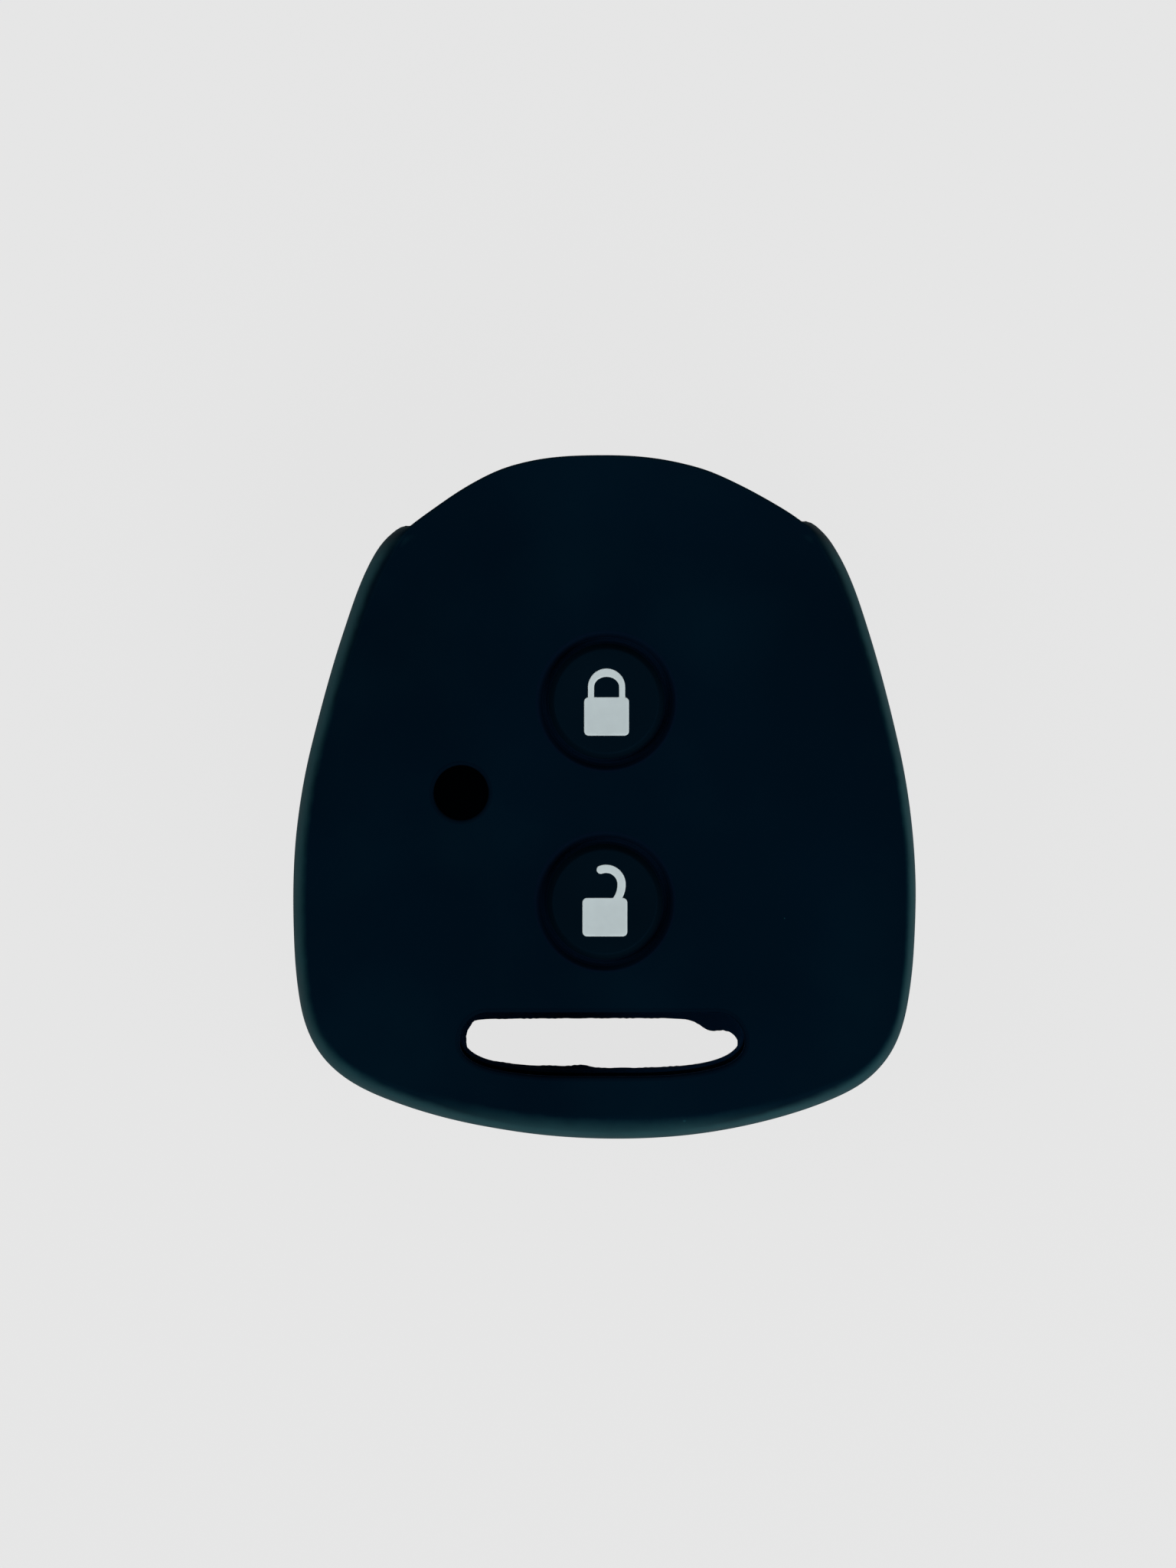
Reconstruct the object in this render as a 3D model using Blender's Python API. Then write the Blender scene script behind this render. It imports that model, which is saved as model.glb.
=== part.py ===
"""Silicone cover for the head of a two-button remote key.

Metres, +Z up. The cover lies on its back. The face with the press pads looks up along +Z, and the
mouth that the key head goes in by opens along +Y. The origin is under the middle of the cover.

One moulding makes the real cover. Here the sleeve, the two press pads and the thin webs that the
pads hang on are separate solids, because each of them moves, bends or stays still by itself. The
two padlock signs are inlaid in the pads.
"""
import math

import bpy
import numpy as np

for leftover in list(bpy.data.objects):
    bpy.data.objects.remove(leftover, do_unlink=True)

# Sleeve
sleeve_width = 0.0450       # across the flanks where they are widest
sleeve_length = 0.0491      # from the bottom edge to the top of the dome
sleeve_depth = 0.0150       # from the back face to the front face
panel_wall = 0.0015         # front panel and back panel
flank_wall = 0.0016         # wall round the flanks and the bottom, at mid depth
flank_rim = 0.00085         # how far the edge of a face lies inside the flank
bottom_rim = 0.0019         # the same along the bottom, where the rim is softer
rim_height_share = 0.60     # depth of the rolled rim, of half the sleeve's depth
inner_fillet = 0.0008       # inside corners between the wall and the panels
mouth_lip = 0.0012          # end of the flank wall that shows beside the mouth
edge_radius = 0.0002        # rounded edges of the slot, the window and the pads' openings

# Key ring slot, through both panels
slot_width = 0.0204
slot_height = 0.0046        # at its middle, where the lower edge bows down
slot_setback = 0.0047       # from the sleeve's bottom edge up to the slot

# Window over the key's pilot light, through the front panel
window_diameter = 0.00394
window_offset = 0.01024     # left of the middle
window_setback = 0.0250     # from the sleeve's bottom edge up to its centre

# Press pads, their grooves and webs
pad_diameter = 0.00776
pad_pitch = 0.01433         # between the two pads' centres
pad_setback = 0.0172        # from the sleeve's bottom edge up to the lower pad's centre
pad_proud = 0.0003          # top of a pad above the front face
pad_roll_drop = 0.00045     # how far the rolled edge of a pad falls
boss_diameter = 0.0044      # the nub under a pad that meets the key's own button
boss_height = 0.0005
groove_width = 0.00099
web_thickness = 0.00035
seam_gap = 0.0001           # between a web and what it joins

# Signs inlaid in the pads
sign_depth = 0.00020        # set into the pad
sign_proud = 0.00004        # standing above the pad
sign_gap = 0.00005          # round the sign in its recess

# How far a cut runs on past the face it has to clear
overrun = 0.0010

# Facets
facet_angle = 4.0           # degrees of turn for each facet of an outline
fewest_facets = 4           # in one stretch of an outline
roll_steps = 6              # rings in a rolled rim
fillet_steps = 3
edge_steps = 3
web_steps = 6               # across the top of a web
round_facets = 48           # round a pad, its groove and its web
window_facets = 32
corner_steps = 4            # in a small rounded corner of a sign

# Right half of the sleeve's outline at mid depth, from the middle of the bottom up to the middle
# of the dome: x of the half width, y of the length, heading in degrees on arriving and on leaving,
# heading of the face's edge beside it, share of the flank rim and share of the bottom rim. The
# dome is the cut edge of the panels and has no rim. The step before it is the shoulder, where the
# flank wall ends and its rim runs out into the dome's edge.
outline_shares = (
    (0.000, -0.5000, 0.0, 0.0, 0.0, 0.00, 1.0),
    (0.676, -0.4480, 20.5, 20.5, 20.5, 0.50, 0.5),
    (0.906, -0.3807, 53.0, 53.0, 53.0, 1.00, 0.1),
    (0.979, -0.2890, 80.5, 80.5, 80.5, 1.00, 0.0),
    (1.000, -0.1500, 90.0, 90.0, 90.0, 1.00, 0.0),
    (0.944, 0.0790, 103.0, 103.0, 103.0, 1.05, 0.0),
    (0.844, 0.2490, 107.6, 107.6, 107.6, 1.20, 0.0),
    (0.744, 0.3620, 121.0, 121.0, 119.0, 1.30, 0.0),
    (0.692, 0.3920, 140.0, 140.0, 127.0, 0.94, 0.0),
    (0.650, 0.4030, 172.0, 172.0, 140.0, 0.59, 0.0),
    (0.620, 0.4015, 180.0, 147.5, 147.5, 0.00, 0.0),
    (0.431, 0.4560, 151.5, 151.5, 151.5, 0.00, 0.0),
    (0.290, 0.4840, 164.0, 164.0, 164.0, 0.00, 0.0),
    (0.000, 0.5000, 180.0, 180.0, 180.0, 0.00, 0.0),
)
last_flank_row = 7          # the row where the cavity leaves the flank for the mouth
notch_row = 10              # the row where the flank wall ends and the dome begins
mouth_heading = 131.0       # degrees, of the cavity's edge as it leaves through the mouth

# Right half of the slot, from the middle of its lower edge: x of the half width, y of the height,
# heading in degrees.
slot_shares = (
    (0.00, 0.00, 0.0),
    (0.74, 0.10, 12.0),
    (1.00, 0.54, 90.0),
    (0.80, 1.00, 180.0),
    (0.00, 1.00, 180.0),
)

# Pads and signs, as shares of the pad's diameter
pad_roll_share = 0.115      # width of the pad's rolled edge
body_width_share = 0.412    # the padlock's body
body_height_share = 0.345
body_top_share = 0.026      # top of the body above the pad's centre
body_corner_share = 0.035
foot_share = 0.06           # how far a shackle's foot runs into the body
shackle_span_share = 0.345  # outside width of the closed shackle
shackle_rise_share = 0.268  # its top above the body
shackle_stroke_share = 0.064
hook_radius_share = 0.155   # middle line of the open shackle
hook_centre_share = 0.134   # its centre above the body
hook_stroke_share = 0.073
hook_foot_angle = -48.0     # degrees, where the open shackle runs into the body
hook_tip_angle = 114.0      # degrees, its free end

# Where the faces and the pads lie
half_width = sleeve_width / 2
half_depth = sleeve_depth / 2
bottom_y = -sleeve_length / 2
panel_inside = sleeve_depth - panel_wall
pad_radius = pad_diameter / 2
opening_radius = pad_radius + groove_width
pad_top = sleeve_depth + pad_proud
lower_pad_y = bottom_y + pad_setback
upper_pad_y = lower_pad_y + pad_pitch


def direction(degrees):
    """Unit vector along a heading, counted from +X towards +Y."""
    angle = math.radians(degrees)
    return np.array([math.cos(angle), math.sin(angle)])


def facets_for(turn):
    """How many facets a stretch of outline gets for its turn in degrees."""
    return max(fewest_facets, round(abs(turn) / facet_angle))


def span(start, end, leaving, arriving, steps):
    """One stretch of outline as a cubic curve: its points and outward normals, without the end.

    The control points lie along the two headings. Their distance is the one that makes the curve
    a circular arc where the chord halves the turn.
    """
    turn = math.radians(abs(arriving - leaving))
    reach = np.linalg.norm(end - start) / (3 * math.cos(turn / 4) ** 2)
    first = start + reach * direction(leaving)
    second = end - reach * direction(arriving)
    t = np.linspace(0, 1, steps, endpoint=False)[:, None]
    points = ((1 - t) ** 3 * start + 3 * (1 - t) ** 2 * t * first
              + 3 * (1 - t) * t ** 2 * second + t ** 3 * end)
    along = ((1 - t) ** 2 * (first - start) + 2 * (1 - t) * t * (second - first)
             + t ** 2 * (end - second))
    along /= np.linalg.norm(along, axis=1)[:, None]
    return np.hstack([points, along[:, 1:2], -along[:, 0:1]])


def traced(knots, facets=None):
    """A closed outline, mirrored across X = 0, from knots down its right half.

    A knot is (point, arriving heading, leaving heading). The result is the points and their
    outward normals. An outline that must match another one point for point is given its facets.
    """
    stretches = []
    for number, ((start, _, leaving), (end, arriving, _)) in enumerate(zip(knots, knots[1:])):
        steps = facets[number] if facets else facets_for(arriving - leaving)
        stretches.append(span(start, end, leaving, arriving, steps))
    stretches.append(np.array([[*knots[-1][0], 0, 1]]))
    right = np.vstack(stretches)
    left = right[-2:0:-1] * np.array([-1, 1, -1, 1])
    whole = np.vstack([right, left])
    return whole[:, 0:2], whole[:, 2:4]


def round_outline(radius, facets):
    """The points and outward normals of a circle."""
    angles = np.arange(facets) * (2 * math.pi / facets)
    normals = np.stack([np.cos(angles), np.sin(angles)], axis=1)
    return radius * normals, normals


def level(points, height):
    """The flat points of an outline, raised to a height."""
    return np.hstack([points, np.full((len(points), 1), height)])


def circle(radius, height):
    """A round ring of a pad or a web about the object's own Z axis."""
    return level(round_outline(radius, round_facets)[0], height)


def rounding(width, depth, steps):
    """A quarter ellipse that rounds an edge: how far in from the side and down from the face.

    The way in falls from width to 0 as the way down grows from 0 to depth.
    """
    angles = np.linspace(0, math.pi / 2, steps + 1)
    return [(width * (1 - math.sin(a)), depth * (1 - math.cos(a))) for a in angles]


def lofted(name, rings, closed=False):
    """A mesh whose skin runs from ring to ring, each as many points as the next.

    Its first and last rings are flat ends, or, if it is closed, the last ring joins the first.
    """
    count = len(rings[0])
    here = np.arange(count)
    after = (here + 1) % count
    faces = []
    for number in range(len(rings) if closed else len(rings) - 1):
        low = number * count
        high = (number + 1) % len(rings) * count
        faces += np.stack([low + here, low + after, high + after], axis=1).tolist()
        faces += np.stack([low + here, high + after, high + here], axis=1).tolist()
    if not closed:
        faces.append(here[::-1].tolist())
        faces.append(((len(rings) - 1) * count + here).tolist())
    mesh = bpy.data.meshes.new(name)
    mesh.from_pydata(np.vstack(rings).tolist(), [], faces)
    mesh.validate()
    return mesh


def material(name, colour, roughness):
    """A plain Principled material with a colour and a roughness."""
    made = bpy.data.materials.new(name)
    made.use_nodes = True
    shader = made.node_tree.nodes["Principled BSDF"]
    shader.inputs["Base Color"].default_value = (*colour, 1.0)
    shader.inputs["Roughness"].default_value = roughness
    shader.inputs["Metallic"].default_value = 0.0
    return made


def placed(name, mesh, at=(0, 0, 0)):
    """An object for a mesh, at its place."""
    made = bpy.data.objects.new(name, mesh)
    bpy.context.scene.collection.objects.link(made)
    made.location = at
    return made


def finished(made, colour, roughness):
    """An object with its own material, shaded smooth where it curves and crisp at its edges."""
    made.data.materials.append(material(made.name + " finish", colour, roughness))
    made.data.shade_smooth()
    made.data.set_sharp_from_angle(angle=math.radians(35))
    return made


def combined(target, name, mesh, operation, at=(0, 0, 0)):
    """Cut a shape out of an object, or join it on."""
    shape = placed(name, mesh, at)
    shape.hide_render = True
    shape.display_type = 'WIRE'
    step = target.modifiers.new(name, 'BOOLEAN')
    step.operation = operation
    step.solver = 'EXACT'
    step.object = shape


def outline_knot(row, inset=0.0):
    """A knot of the sleeve's outline, moved inwards."""
    x, y, arriving, leaving = row[:4]
    point = np.array([x * half_width, y * sleeve_length]) - inset * direction(leaving - 90)
    return point, arriving, leaving


def face_knot(row):
    """The knot of the face's edge beside a knot of the outline, inside it by the width of the rim."""
    x, y, _, _, heading, flank_share, bottom_share = row
    rim = flank_share * flank_rim + bottom_share * bottom_rim
    point = np.array([x * half_width, y * sleeve_length]) - rim * direction(heading - 90)
    return point, heading, heading


def sleeve_body():
    """The outside of the sleeve, lofted from the back face up to the front face.

    The rolled rim is a quarter ellipse between the outline at mid depth and the face's edge.
    """
    facets = [facets_for(after[2] - row[3]) for row, after in zip(outline_shares, outline_shares[1:])]
    outline = traced([outline_knot(row) for row in outline_shares])[0]
    face = traced([face_knot(row) for row in outline_shares], facets)[0]
    roll = rounding(1.0, rim_height_share * half_depth, roll_steps)
    rings = [level(outline + (face - outline) * lean, drop) for lean, drop in roll]
    for lean, drop in reversed(roll):
        rings.append(level(outline + (face - outline) * lean, sleeve_depth - drop))
    return lofted("sleeve", rings)


def cavity():
    """The space for the key head. It runs out through the dome, which makes the mouth."""
    knots = [outline_knot(row, flank_wall) for row in outline_shares[:last_flank_row + 1]]
    notch, _, dome_heading = outline_knot(outline_shares[notch_row])
    corner = notch + mouth_lip * direction(dome_heading)
    knots.append((corner, mouth_heading, mouth_heading))
    beyond = sleeve_length / 2 + inner_fillet + overrun
    way_out = direction(mouth_heading)
    end = corner + way_out * (beyond - corner[1]) / way_out[1]
    knots.append((end, mouth_heading, 180.0))
    knots.append((np.array([0.0, beyond]), 180.0, 180.0))
    points, normals = traced(knots)
    roll = rounding(inner_fillet, inner_fillet, fillet_steps)
    rings = [level(points - lean * normals, panel_wall + drop) for lean, drop in roll]
    rings += [level(points - lean * normals, panel_inside - drop) for lean, drop in reversed(roll)]
    return lofted("cavity", rings)


def upright_cut(name, outline, through_back=False):
    """A cut from inside the cavity up past the front face, whose edge it rounds.

    One that goes through the back too starts below the back face and rounds that edge as well.
    """
    points, normals = outline
    edge = rounding(edge_radius, edge_radius, edge_steps)
    flared = points + edge_radius * normals
    if through_back:
        rings = [level(flared, -overrun)]
        rings += [level(points + out * normals, drop) for out, drop in edge]
    else:
        rings = [level(points, panel_inside - overrun)]
    rings += [level(points + out * normals, sleeve_depth - drop) for out, drop in reversed(edge)]
    rings.append(level(flared, sleeve_depth + overrun))
    return lofted(name, rings)


def slot_outline():
    """The key ring slot: flat along its top, bowed along its bottom, with round ends."""
    low = bottom_y + slot_setback
    places = [np.array([x * slot_width / 2, low + y * slot_height]) for x, y, _ in slot_shares]
    return traced([(place, row[2], row[2]) for place, row in zip(places, slot_shares)])


def pad_body(name):
    """A press pad: the nub below, the plug, and a flat top with a rolled edge."""
    rings = [
        circle(boss_diameter / 2, panel_inside - boss_height),
        circle(boss_diameter / 2, panel_inside),
        circle(pad_radius, panel_inside),
    ]
    for lean, drop in reversed(rounding(pad_roll_share * pad_diameter, pad_roll_drop, roll_steps)):
        rings.append(circle(pad_radius - lean, pad_top - drop))
    return lofted(name, rings)


def web_body(name):
    """The thin ring that carries a pad, at the bottom of its groove.

    It is flat below. Its top is web_thickness high in the middle and half as much again at both
    edges, after the fourth power of the distance from the middle.
    """
    outer = opening_radius - seam_gap
    inner = pad_radius + seam_gap
    rings = [circle(inner, panel_inside), circle(outer, panel_inside)]
    for across in np.linspace(1, -1, web_steps + 1):
        radius = (outer + inner) / 2 + across * (outer - inner) / 2
        rings.append(circle(radius, panel_inside + web_thickness * (1 + across ** 4 / 2)))
    return lofted(name, rings, closed=True)


def arc(centre, radius, first, last, steps):
    """Points along part of a circle, from one angle in degrees to another."""
    angles = np.radians(np.linspace(first, last, steps + 1))
    return centre + radius * np.stack([np.cos(angles), np.sin(angles)], axis=1)


def padlock_outline(growth):
    """The padlock's body: a box with rounded corners that hangs from the body's top line."""
    half = np.array([body_width_share, body_height_share]) * pad_diameter / 2 + growth
    corner = body_corner_share * pad_diameter + growth
    middle = np.array([0.0, (body_top_share - body_height_share / 2) * pad_diameter])
    stretches = []
    for number, (right, up) in enumerate(((1, 1), (-1, 1), (-1, -1), (1, -1))):
        centre = middle + np.array([right, up]) * (half - corner)
        stretches.append(arc(centre, corner, 90 * number, 90 * number + 90, corner_steps))
    return np.vstack(stretches)


def closed_shackle_outline(growth):
    """The shackle of the closed padlock: a half ring on two straight legs."""
    outside = shackle_span_share * pad_diameter / 2 + growth
    inside = outside - shackle_stroke_share * pad_diameter - 2 * growth
    body_top = body_top_share * pad_diameter
    foot = body_top - foot_share * pad_diameter
    centre = np.array([0.0, body_top + shackle_rise_share * pad_diameter + growth - outside])
    return np.vstack([
        [[outside, foot]],
        arc(centre, outside, 0, 180, 4 * corner_steps),
        [[-outside, foot], [-inside, foot]],
        arc(centre, inside, 180, 0, 4 * corner_steps),
        [[inside, foot]],
    ])


def open_shackle_outline(growth):
    """The shackle of the open padlock: a hook from the body's right side, with a round tip."""
    half_stroke = hook_stroke_share * pad_diameter / 2 + growth
    radius = hook_radius_share * pad_diameter
    centre = np.array([0.0, (body_top_share + hook_centre_share) * pad_diameter])
    tip = centre + radius * direction(hook_tip_angle)
    round_tip = arc(tip, half_stroke, hook_tip_angle, hook_tip_angle + 180, 2 * corner_steps)
    return np.vstack([
        arc(centre, radius + half_stroke, hook_foot_angle, hook_tip_angle, 4 * corner_steps),
        round_tip[1:-1],
        arc(centre, radius - half_stroke, hook_tip_angle, hook_foot_angle, 4 * corner_steps),
    ])


def sign_shapes(name, shackle_outline, growth, top):
    """A padlock sign as two upright prisms that overlap, its body and its shackle.

    The recess for it has growth all round, and is deeper by as much.
    """
    low = pad_top - sign_depth - growth
    return [lofted(name + part, [level(outline(growth), low), level(outline(growth), top)])
            for part, outline in (("_body", padlock_outline), ("_shackle", shackle_outline))]


def press_pad(name, place_y, shackle_outline):
    """One pad at its place, with its recess and sign, its web and its opening in the front panel."""
    at = (0, place_y, 0)
    pad = finished(placed(name + "_pad", pad_body(name + "_pad"), at), pad_colour, 0.50)
    for recess in sign_shapes(name + "_recess", shackle_outline, sign_gap, pad_top + overrun):
        combined(pad, recess.name, recess, 'DIFFERENCE', at)
    body, shackle = sign_shapes(name + "_sign", shackle_outline, 0.0, pad_top + sign_proud)
    sign = finished(placed(name + "_icon", body), sign_colour, 0.45)
    sign.parent = pad
    combined(sign, shackle.name, shackle, 'UNION', at)
    finished(placed(name + "_pad_web", web_body(name + "_pad_web"), at), silicone_colour, 0.55)
    opening = upright_cut(name + "_opening", round_outline(opening_radius, round_facets))
    combined(sleeve, opening.name, opening, 'DIFFERENCE', at)


silicone_colour = (0.0007, 0.0045, 0.0100)
pad_colour = (0.0007, 0.0042, 0.0080)
sign_colour = (0.52, 0.60, 0.61)

sleeve = finished(placed("sleeve", sleeve_body()), silicone_colour, 0.55)
combined(sleeve, "cavity", cavity(), 'DIFFERENCE')
combined(sleeve, "slot", upright_cut("slot", slot_outline(), through_back=True), 'DIFFERENCE')
window = upright_cut("window", round_outline(window_diameter / 2, window_facets))
combined(sleeve, "window", window, 'DIFFERENCE', (-window_offset, bottom_y + window_setback, 0))
press_pad("lock", upper_pad_y, closed_shackle_outline)
press_pad("unlock", lower_pad_y, open_shackle_outline)
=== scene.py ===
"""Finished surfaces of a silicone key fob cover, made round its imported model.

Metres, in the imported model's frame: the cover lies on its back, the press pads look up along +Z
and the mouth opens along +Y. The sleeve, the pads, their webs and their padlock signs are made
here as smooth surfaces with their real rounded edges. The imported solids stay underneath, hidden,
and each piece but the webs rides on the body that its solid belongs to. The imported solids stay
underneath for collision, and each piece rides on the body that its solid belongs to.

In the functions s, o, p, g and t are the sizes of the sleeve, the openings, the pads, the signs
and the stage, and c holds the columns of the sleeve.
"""
import math
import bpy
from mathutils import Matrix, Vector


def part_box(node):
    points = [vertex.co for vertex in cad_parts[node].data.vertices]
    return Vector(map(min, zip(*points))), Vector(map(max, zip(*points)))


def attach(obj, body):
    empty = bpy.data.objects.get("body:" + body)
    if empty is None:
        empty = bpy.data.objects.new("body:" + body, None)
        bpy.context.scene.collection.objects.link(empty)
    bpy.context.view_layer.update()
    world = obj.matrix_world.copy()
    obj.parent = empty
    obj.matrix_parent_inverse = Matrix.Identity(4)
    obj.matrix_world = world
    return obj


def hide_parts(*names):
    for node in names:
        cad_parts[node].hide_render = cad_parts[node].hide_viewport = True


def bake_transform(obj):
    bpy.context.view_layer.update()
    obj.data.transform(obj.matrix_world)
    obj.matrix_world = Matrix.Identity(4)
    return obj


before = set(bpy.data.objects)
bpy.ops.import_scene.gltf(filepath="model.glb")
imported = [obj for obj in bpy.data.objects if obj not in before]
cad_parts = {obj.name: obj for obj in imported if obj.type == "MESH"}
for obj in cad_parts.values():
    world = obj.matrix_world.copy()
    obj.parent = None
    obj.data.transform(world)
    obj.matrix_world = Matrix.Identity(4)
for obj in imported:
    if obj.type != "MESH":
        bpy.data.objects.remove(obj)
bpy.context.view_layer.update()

from types import SimpleNamespace

import bmesh
import bpy
import numpy as np
from bpy.props import FloatProperty, FloatVectorProperty, PointerProperty
from bpy.types import Operator, Panel, PropertyGroup
from mathutils import Vector
from mathutils.geometry import delaunay_2d_cdt

bl_info = {
    "name": "Silicone key fob cover",
    "version": (1, 0, 0),
    "blender": (4, 5, 0),
    "location": "3D View > Sidebar > Key cover",
    "description": "Makes a silicone key fob cover with press pads round its packed model",
    "category": "Add Mesh",
}

sleeve_low, sleeve_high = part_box("sleeve")
lock_low, lock_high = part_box("lock_pad")
unlock_low, unlock_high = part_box("unlock_pad")
web_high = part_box("lock_pad_web")[1]
sign_low, sign_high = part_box("lock_icon")

# Right half of the sleeve's outline at mid depth, from the middle of the bottom up to the middle
# of the dome: x of the half width, y of the length, heading in degrees on arriving and on leaving,
# heading of the face's edge beside it, share of the flank rim and share of the bottom rim.
outline_shares = (
    (0.000, -0.5000, 0.0, 0.0, 0.0, 0.00, 1.0),
    (0.676, -0.4480, 20.5, 20.5, 20.5, 0.50, 0.5),
    (0.906, -0.3807, 53.0, 53.0, 53.0, 1.00, 0.1),
    (0.979, -0.2890, 80.5, 80.5, 80.5, 1.00, 0.0),
    (1.000, -0.1500, 90.0, 90.0, 90.0, 1.00, 0.0),
    (0.944, 0.0790, 103.0, 103.0, 103.0, 1.05, 0.0),
    (0.844, 0.2490, 107.6, 107.6, 107.6, 1.20, 0.0),
    (0.744, 0.3620, 121.0, 121.0, 119.0, 1.30, 0.0),
    (0.692, 0.3920, 140.0, 140.0, 127.0, 0.94, 0.0),
    (0.650, 0.4030, 172.0, 172.0, 140.0, 0.59, 0.0),
    (0.620, 0.4015, 180.0, 147.5, 147.5, 0.00, 0.0),
    (0.431, 0.4560, 151.5, 151.5, 151.5, 0.00, 0.0),
    (0.290, 0.4840, 164.0, 164.0, 164.0, 0.00, 0.0),
    (0.000, 0.5000, 180.0, 180.0, 180.0, 0.00, 0.0),
)
last_flank_row = 7          # where the cavity leaves the flank for the mouth
notch_row = 10              # where the flank wall ends and the dome begins
shoulder_start = 8.6        # stretch of the outline where the rolled rim starts to run out
shoulder_end = 10.1         # and where only a small rounded edge is left
mouth_heading = 131.0       # degrees, of the cavity's edge as it leaves through the mouth

# How fine the surfaces are
flank_spacing = 0.00042     # between the flank's columns of points
slot_spacing = 0.00024      # between the points of the slot
sign_spacing = 0.00012      # between the points of a sign
dome_steps = 33             # from the mouth's corner to the middle of the dome
lip_steps = 3               # along the wall's cut end
crown_steps = 16            # down the rolled rim
fillet_count = 9            # points across the cavity's fillet
cavity_count = 120          # points along half of the cavity
hole_steps = 6              # across each rounded edge of a hole
round_count = 144           # points round a pad, a web or a groove
window_count = 72           # points round the window
edge_rows = hole_steps + 2  # rows of a hole's first rounded edge, with the flat one before it
weld_distance = 5e-7        # points closer than this become one

# Small forms that the sidebar doesn't need
flat_margin = 0.0001        # flat strip kept beside a rounded edge
hidden_edge = 0.00015       # radius of the holes' edges inside the cover
hidden_pad_edge = 0.00012   # radius of a pad's edges below the face
sharp_radius = 0.0003       # an edge as sharp as this counts as rubbed in full
parting_levels = (0.0004, 0.00022, 0.00012, 0.00007, 0.000035)  # rows above mid depth
rag_waves = ((0.000025, 37, 0.0), (0.000018, 61, 1.0))  # of the flash: height, number, phase
rag_base = 0.00002          # how far the flash's edge is drawn back at least
flash_margin = 0.0004       # flat strip of the back kept inside the flash's edge

# The flash in section: share of the way to its free edge, and height as a share of its thickness.
flash_section = ((0.0, 1.6), (0.06, 1.15), (0.25, 1.0), (0.6, 1.0), (0.88, 0.96), (0.97, 0.8),
                 (1.0, 0.5), (0.97, 0.18), (0.88, 0.0))

# The sleeve's materials in their order
body_finish, edge_finish, wall_finish, flash_finish, groove_finish = range(5)

# Right half of the slot, from the middle of its lower edge: x of the half width, y of the height,
# heading in degrees on arriving and on leaving.
slot_shares = (
    (0.00, 0.00, 0.0, 0.0),
    (0.74, 0.10, 12.0, 12.0),
    (1.00, 0.54, 90.0, 90.0),
    (0.80, 1.00, 180.0, 180.0),
    (0.00, 1.00, 180.0, 180.0),
)

# Free edge of the thin skin of silicone left across the slot in the back panel, from the middle of
# its lower side to the right: x of the slot's half width from its middle, y of its height.
flash_shares = (
    (0.00, 0.005), (0.15, 0.006), (0.30, 0.008), (0.55, 0.035), (0.76, 0.085), (0.88, 0.150),
    (0.955, 0.240), (0.982, 0.380), (0.975, 0.480), (0.930, 0.580), (0.870, 0.618),
    (0.810, 0.605), (0.760, 0.625), (0.700, 0.715), (0.635, 0.775), (0.520, 0.806),
    (0.200, 0.810), (-0.250, 0.808), (-0.700, 0.800), (-0.900, 0.782), (-0.945, 0.695),
    (-0.978, 0.560), (-0.978, 0.395), (-0.960, 0.275), (-0.910, 0.185), (-0.820, 0.125),
    (-0.690, 0.085), (-0.540, 0.045), (-0.400, 0.042), (-0.250, 0.036), (-0.175, 0.052),
    (-0.115, 0.050), (-0.070, 0.018),
)

# How far the outline lies out of true, because no moulding as soft as this lies quite even: degrees
# round the middle from +X towards +Y, and share of the unevenness, outwards.
uneven_shares = (
    (0, -0.18), (12, -0.11), (24, -0.04), (36, 0.02), (48, 0.11), (52, 0.28), (56, 0.85),
    (60, 0.63), (64, 0.30), (68, 0.06), (76, -0.11), (84, 0.06), (92, 0.06), (100, 0.28),
    (108, 0.26), (112, 0.13), (116, -0.04), (120, -0.28), (124, -0.46), (128, -1.07),
    (132, -0.85), (136, -0.98), (144, -0.98), (152, -0.81), (164, -0.65), (176, -0.44),
    (188, -0.31), (204, -0.41), (212, -0.22), (216, -0.13), (220, -0.44), (224, -0.65),
    (236, -0.68), (252, -0.74), (260, -0.52), (272, -0.22), (284, 0.06), (296, 0.18),
    (304, 0.31), (312, 0.30), (316, -0.04), (320, -0.20), (328, -0.37), (336, -0.41),
    (344, -0.22),
)


def length(name, description, default):
    """A size in metres for the sidebar."""
    return FloatProperty(name=name, description=description, default=default, min=0.0,
                         unit='LENGTH', precision=5)


def angle(name, description, degrees):
    """An angle for the sidebar, kept in radians."""
    return FloatProperty(name=name, description=description, default=math.radians(degrees),
                         subtype='ANGLE')


def share(name, description, default):
    """A share from none to all for the sidebar."""
    return FloatProperty(name=name, description=description, default=default, min=0.0, max=1.0,
                         subtype='FACTOR', precision=3)


def colour(name, description, default):
    """A linear colour for the sidebar."""
    return FloatVectorProperty(name=name, description=description, default=default, size=3,
                               min=0.0, max=1.0, subtype='COLOR')


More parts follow.
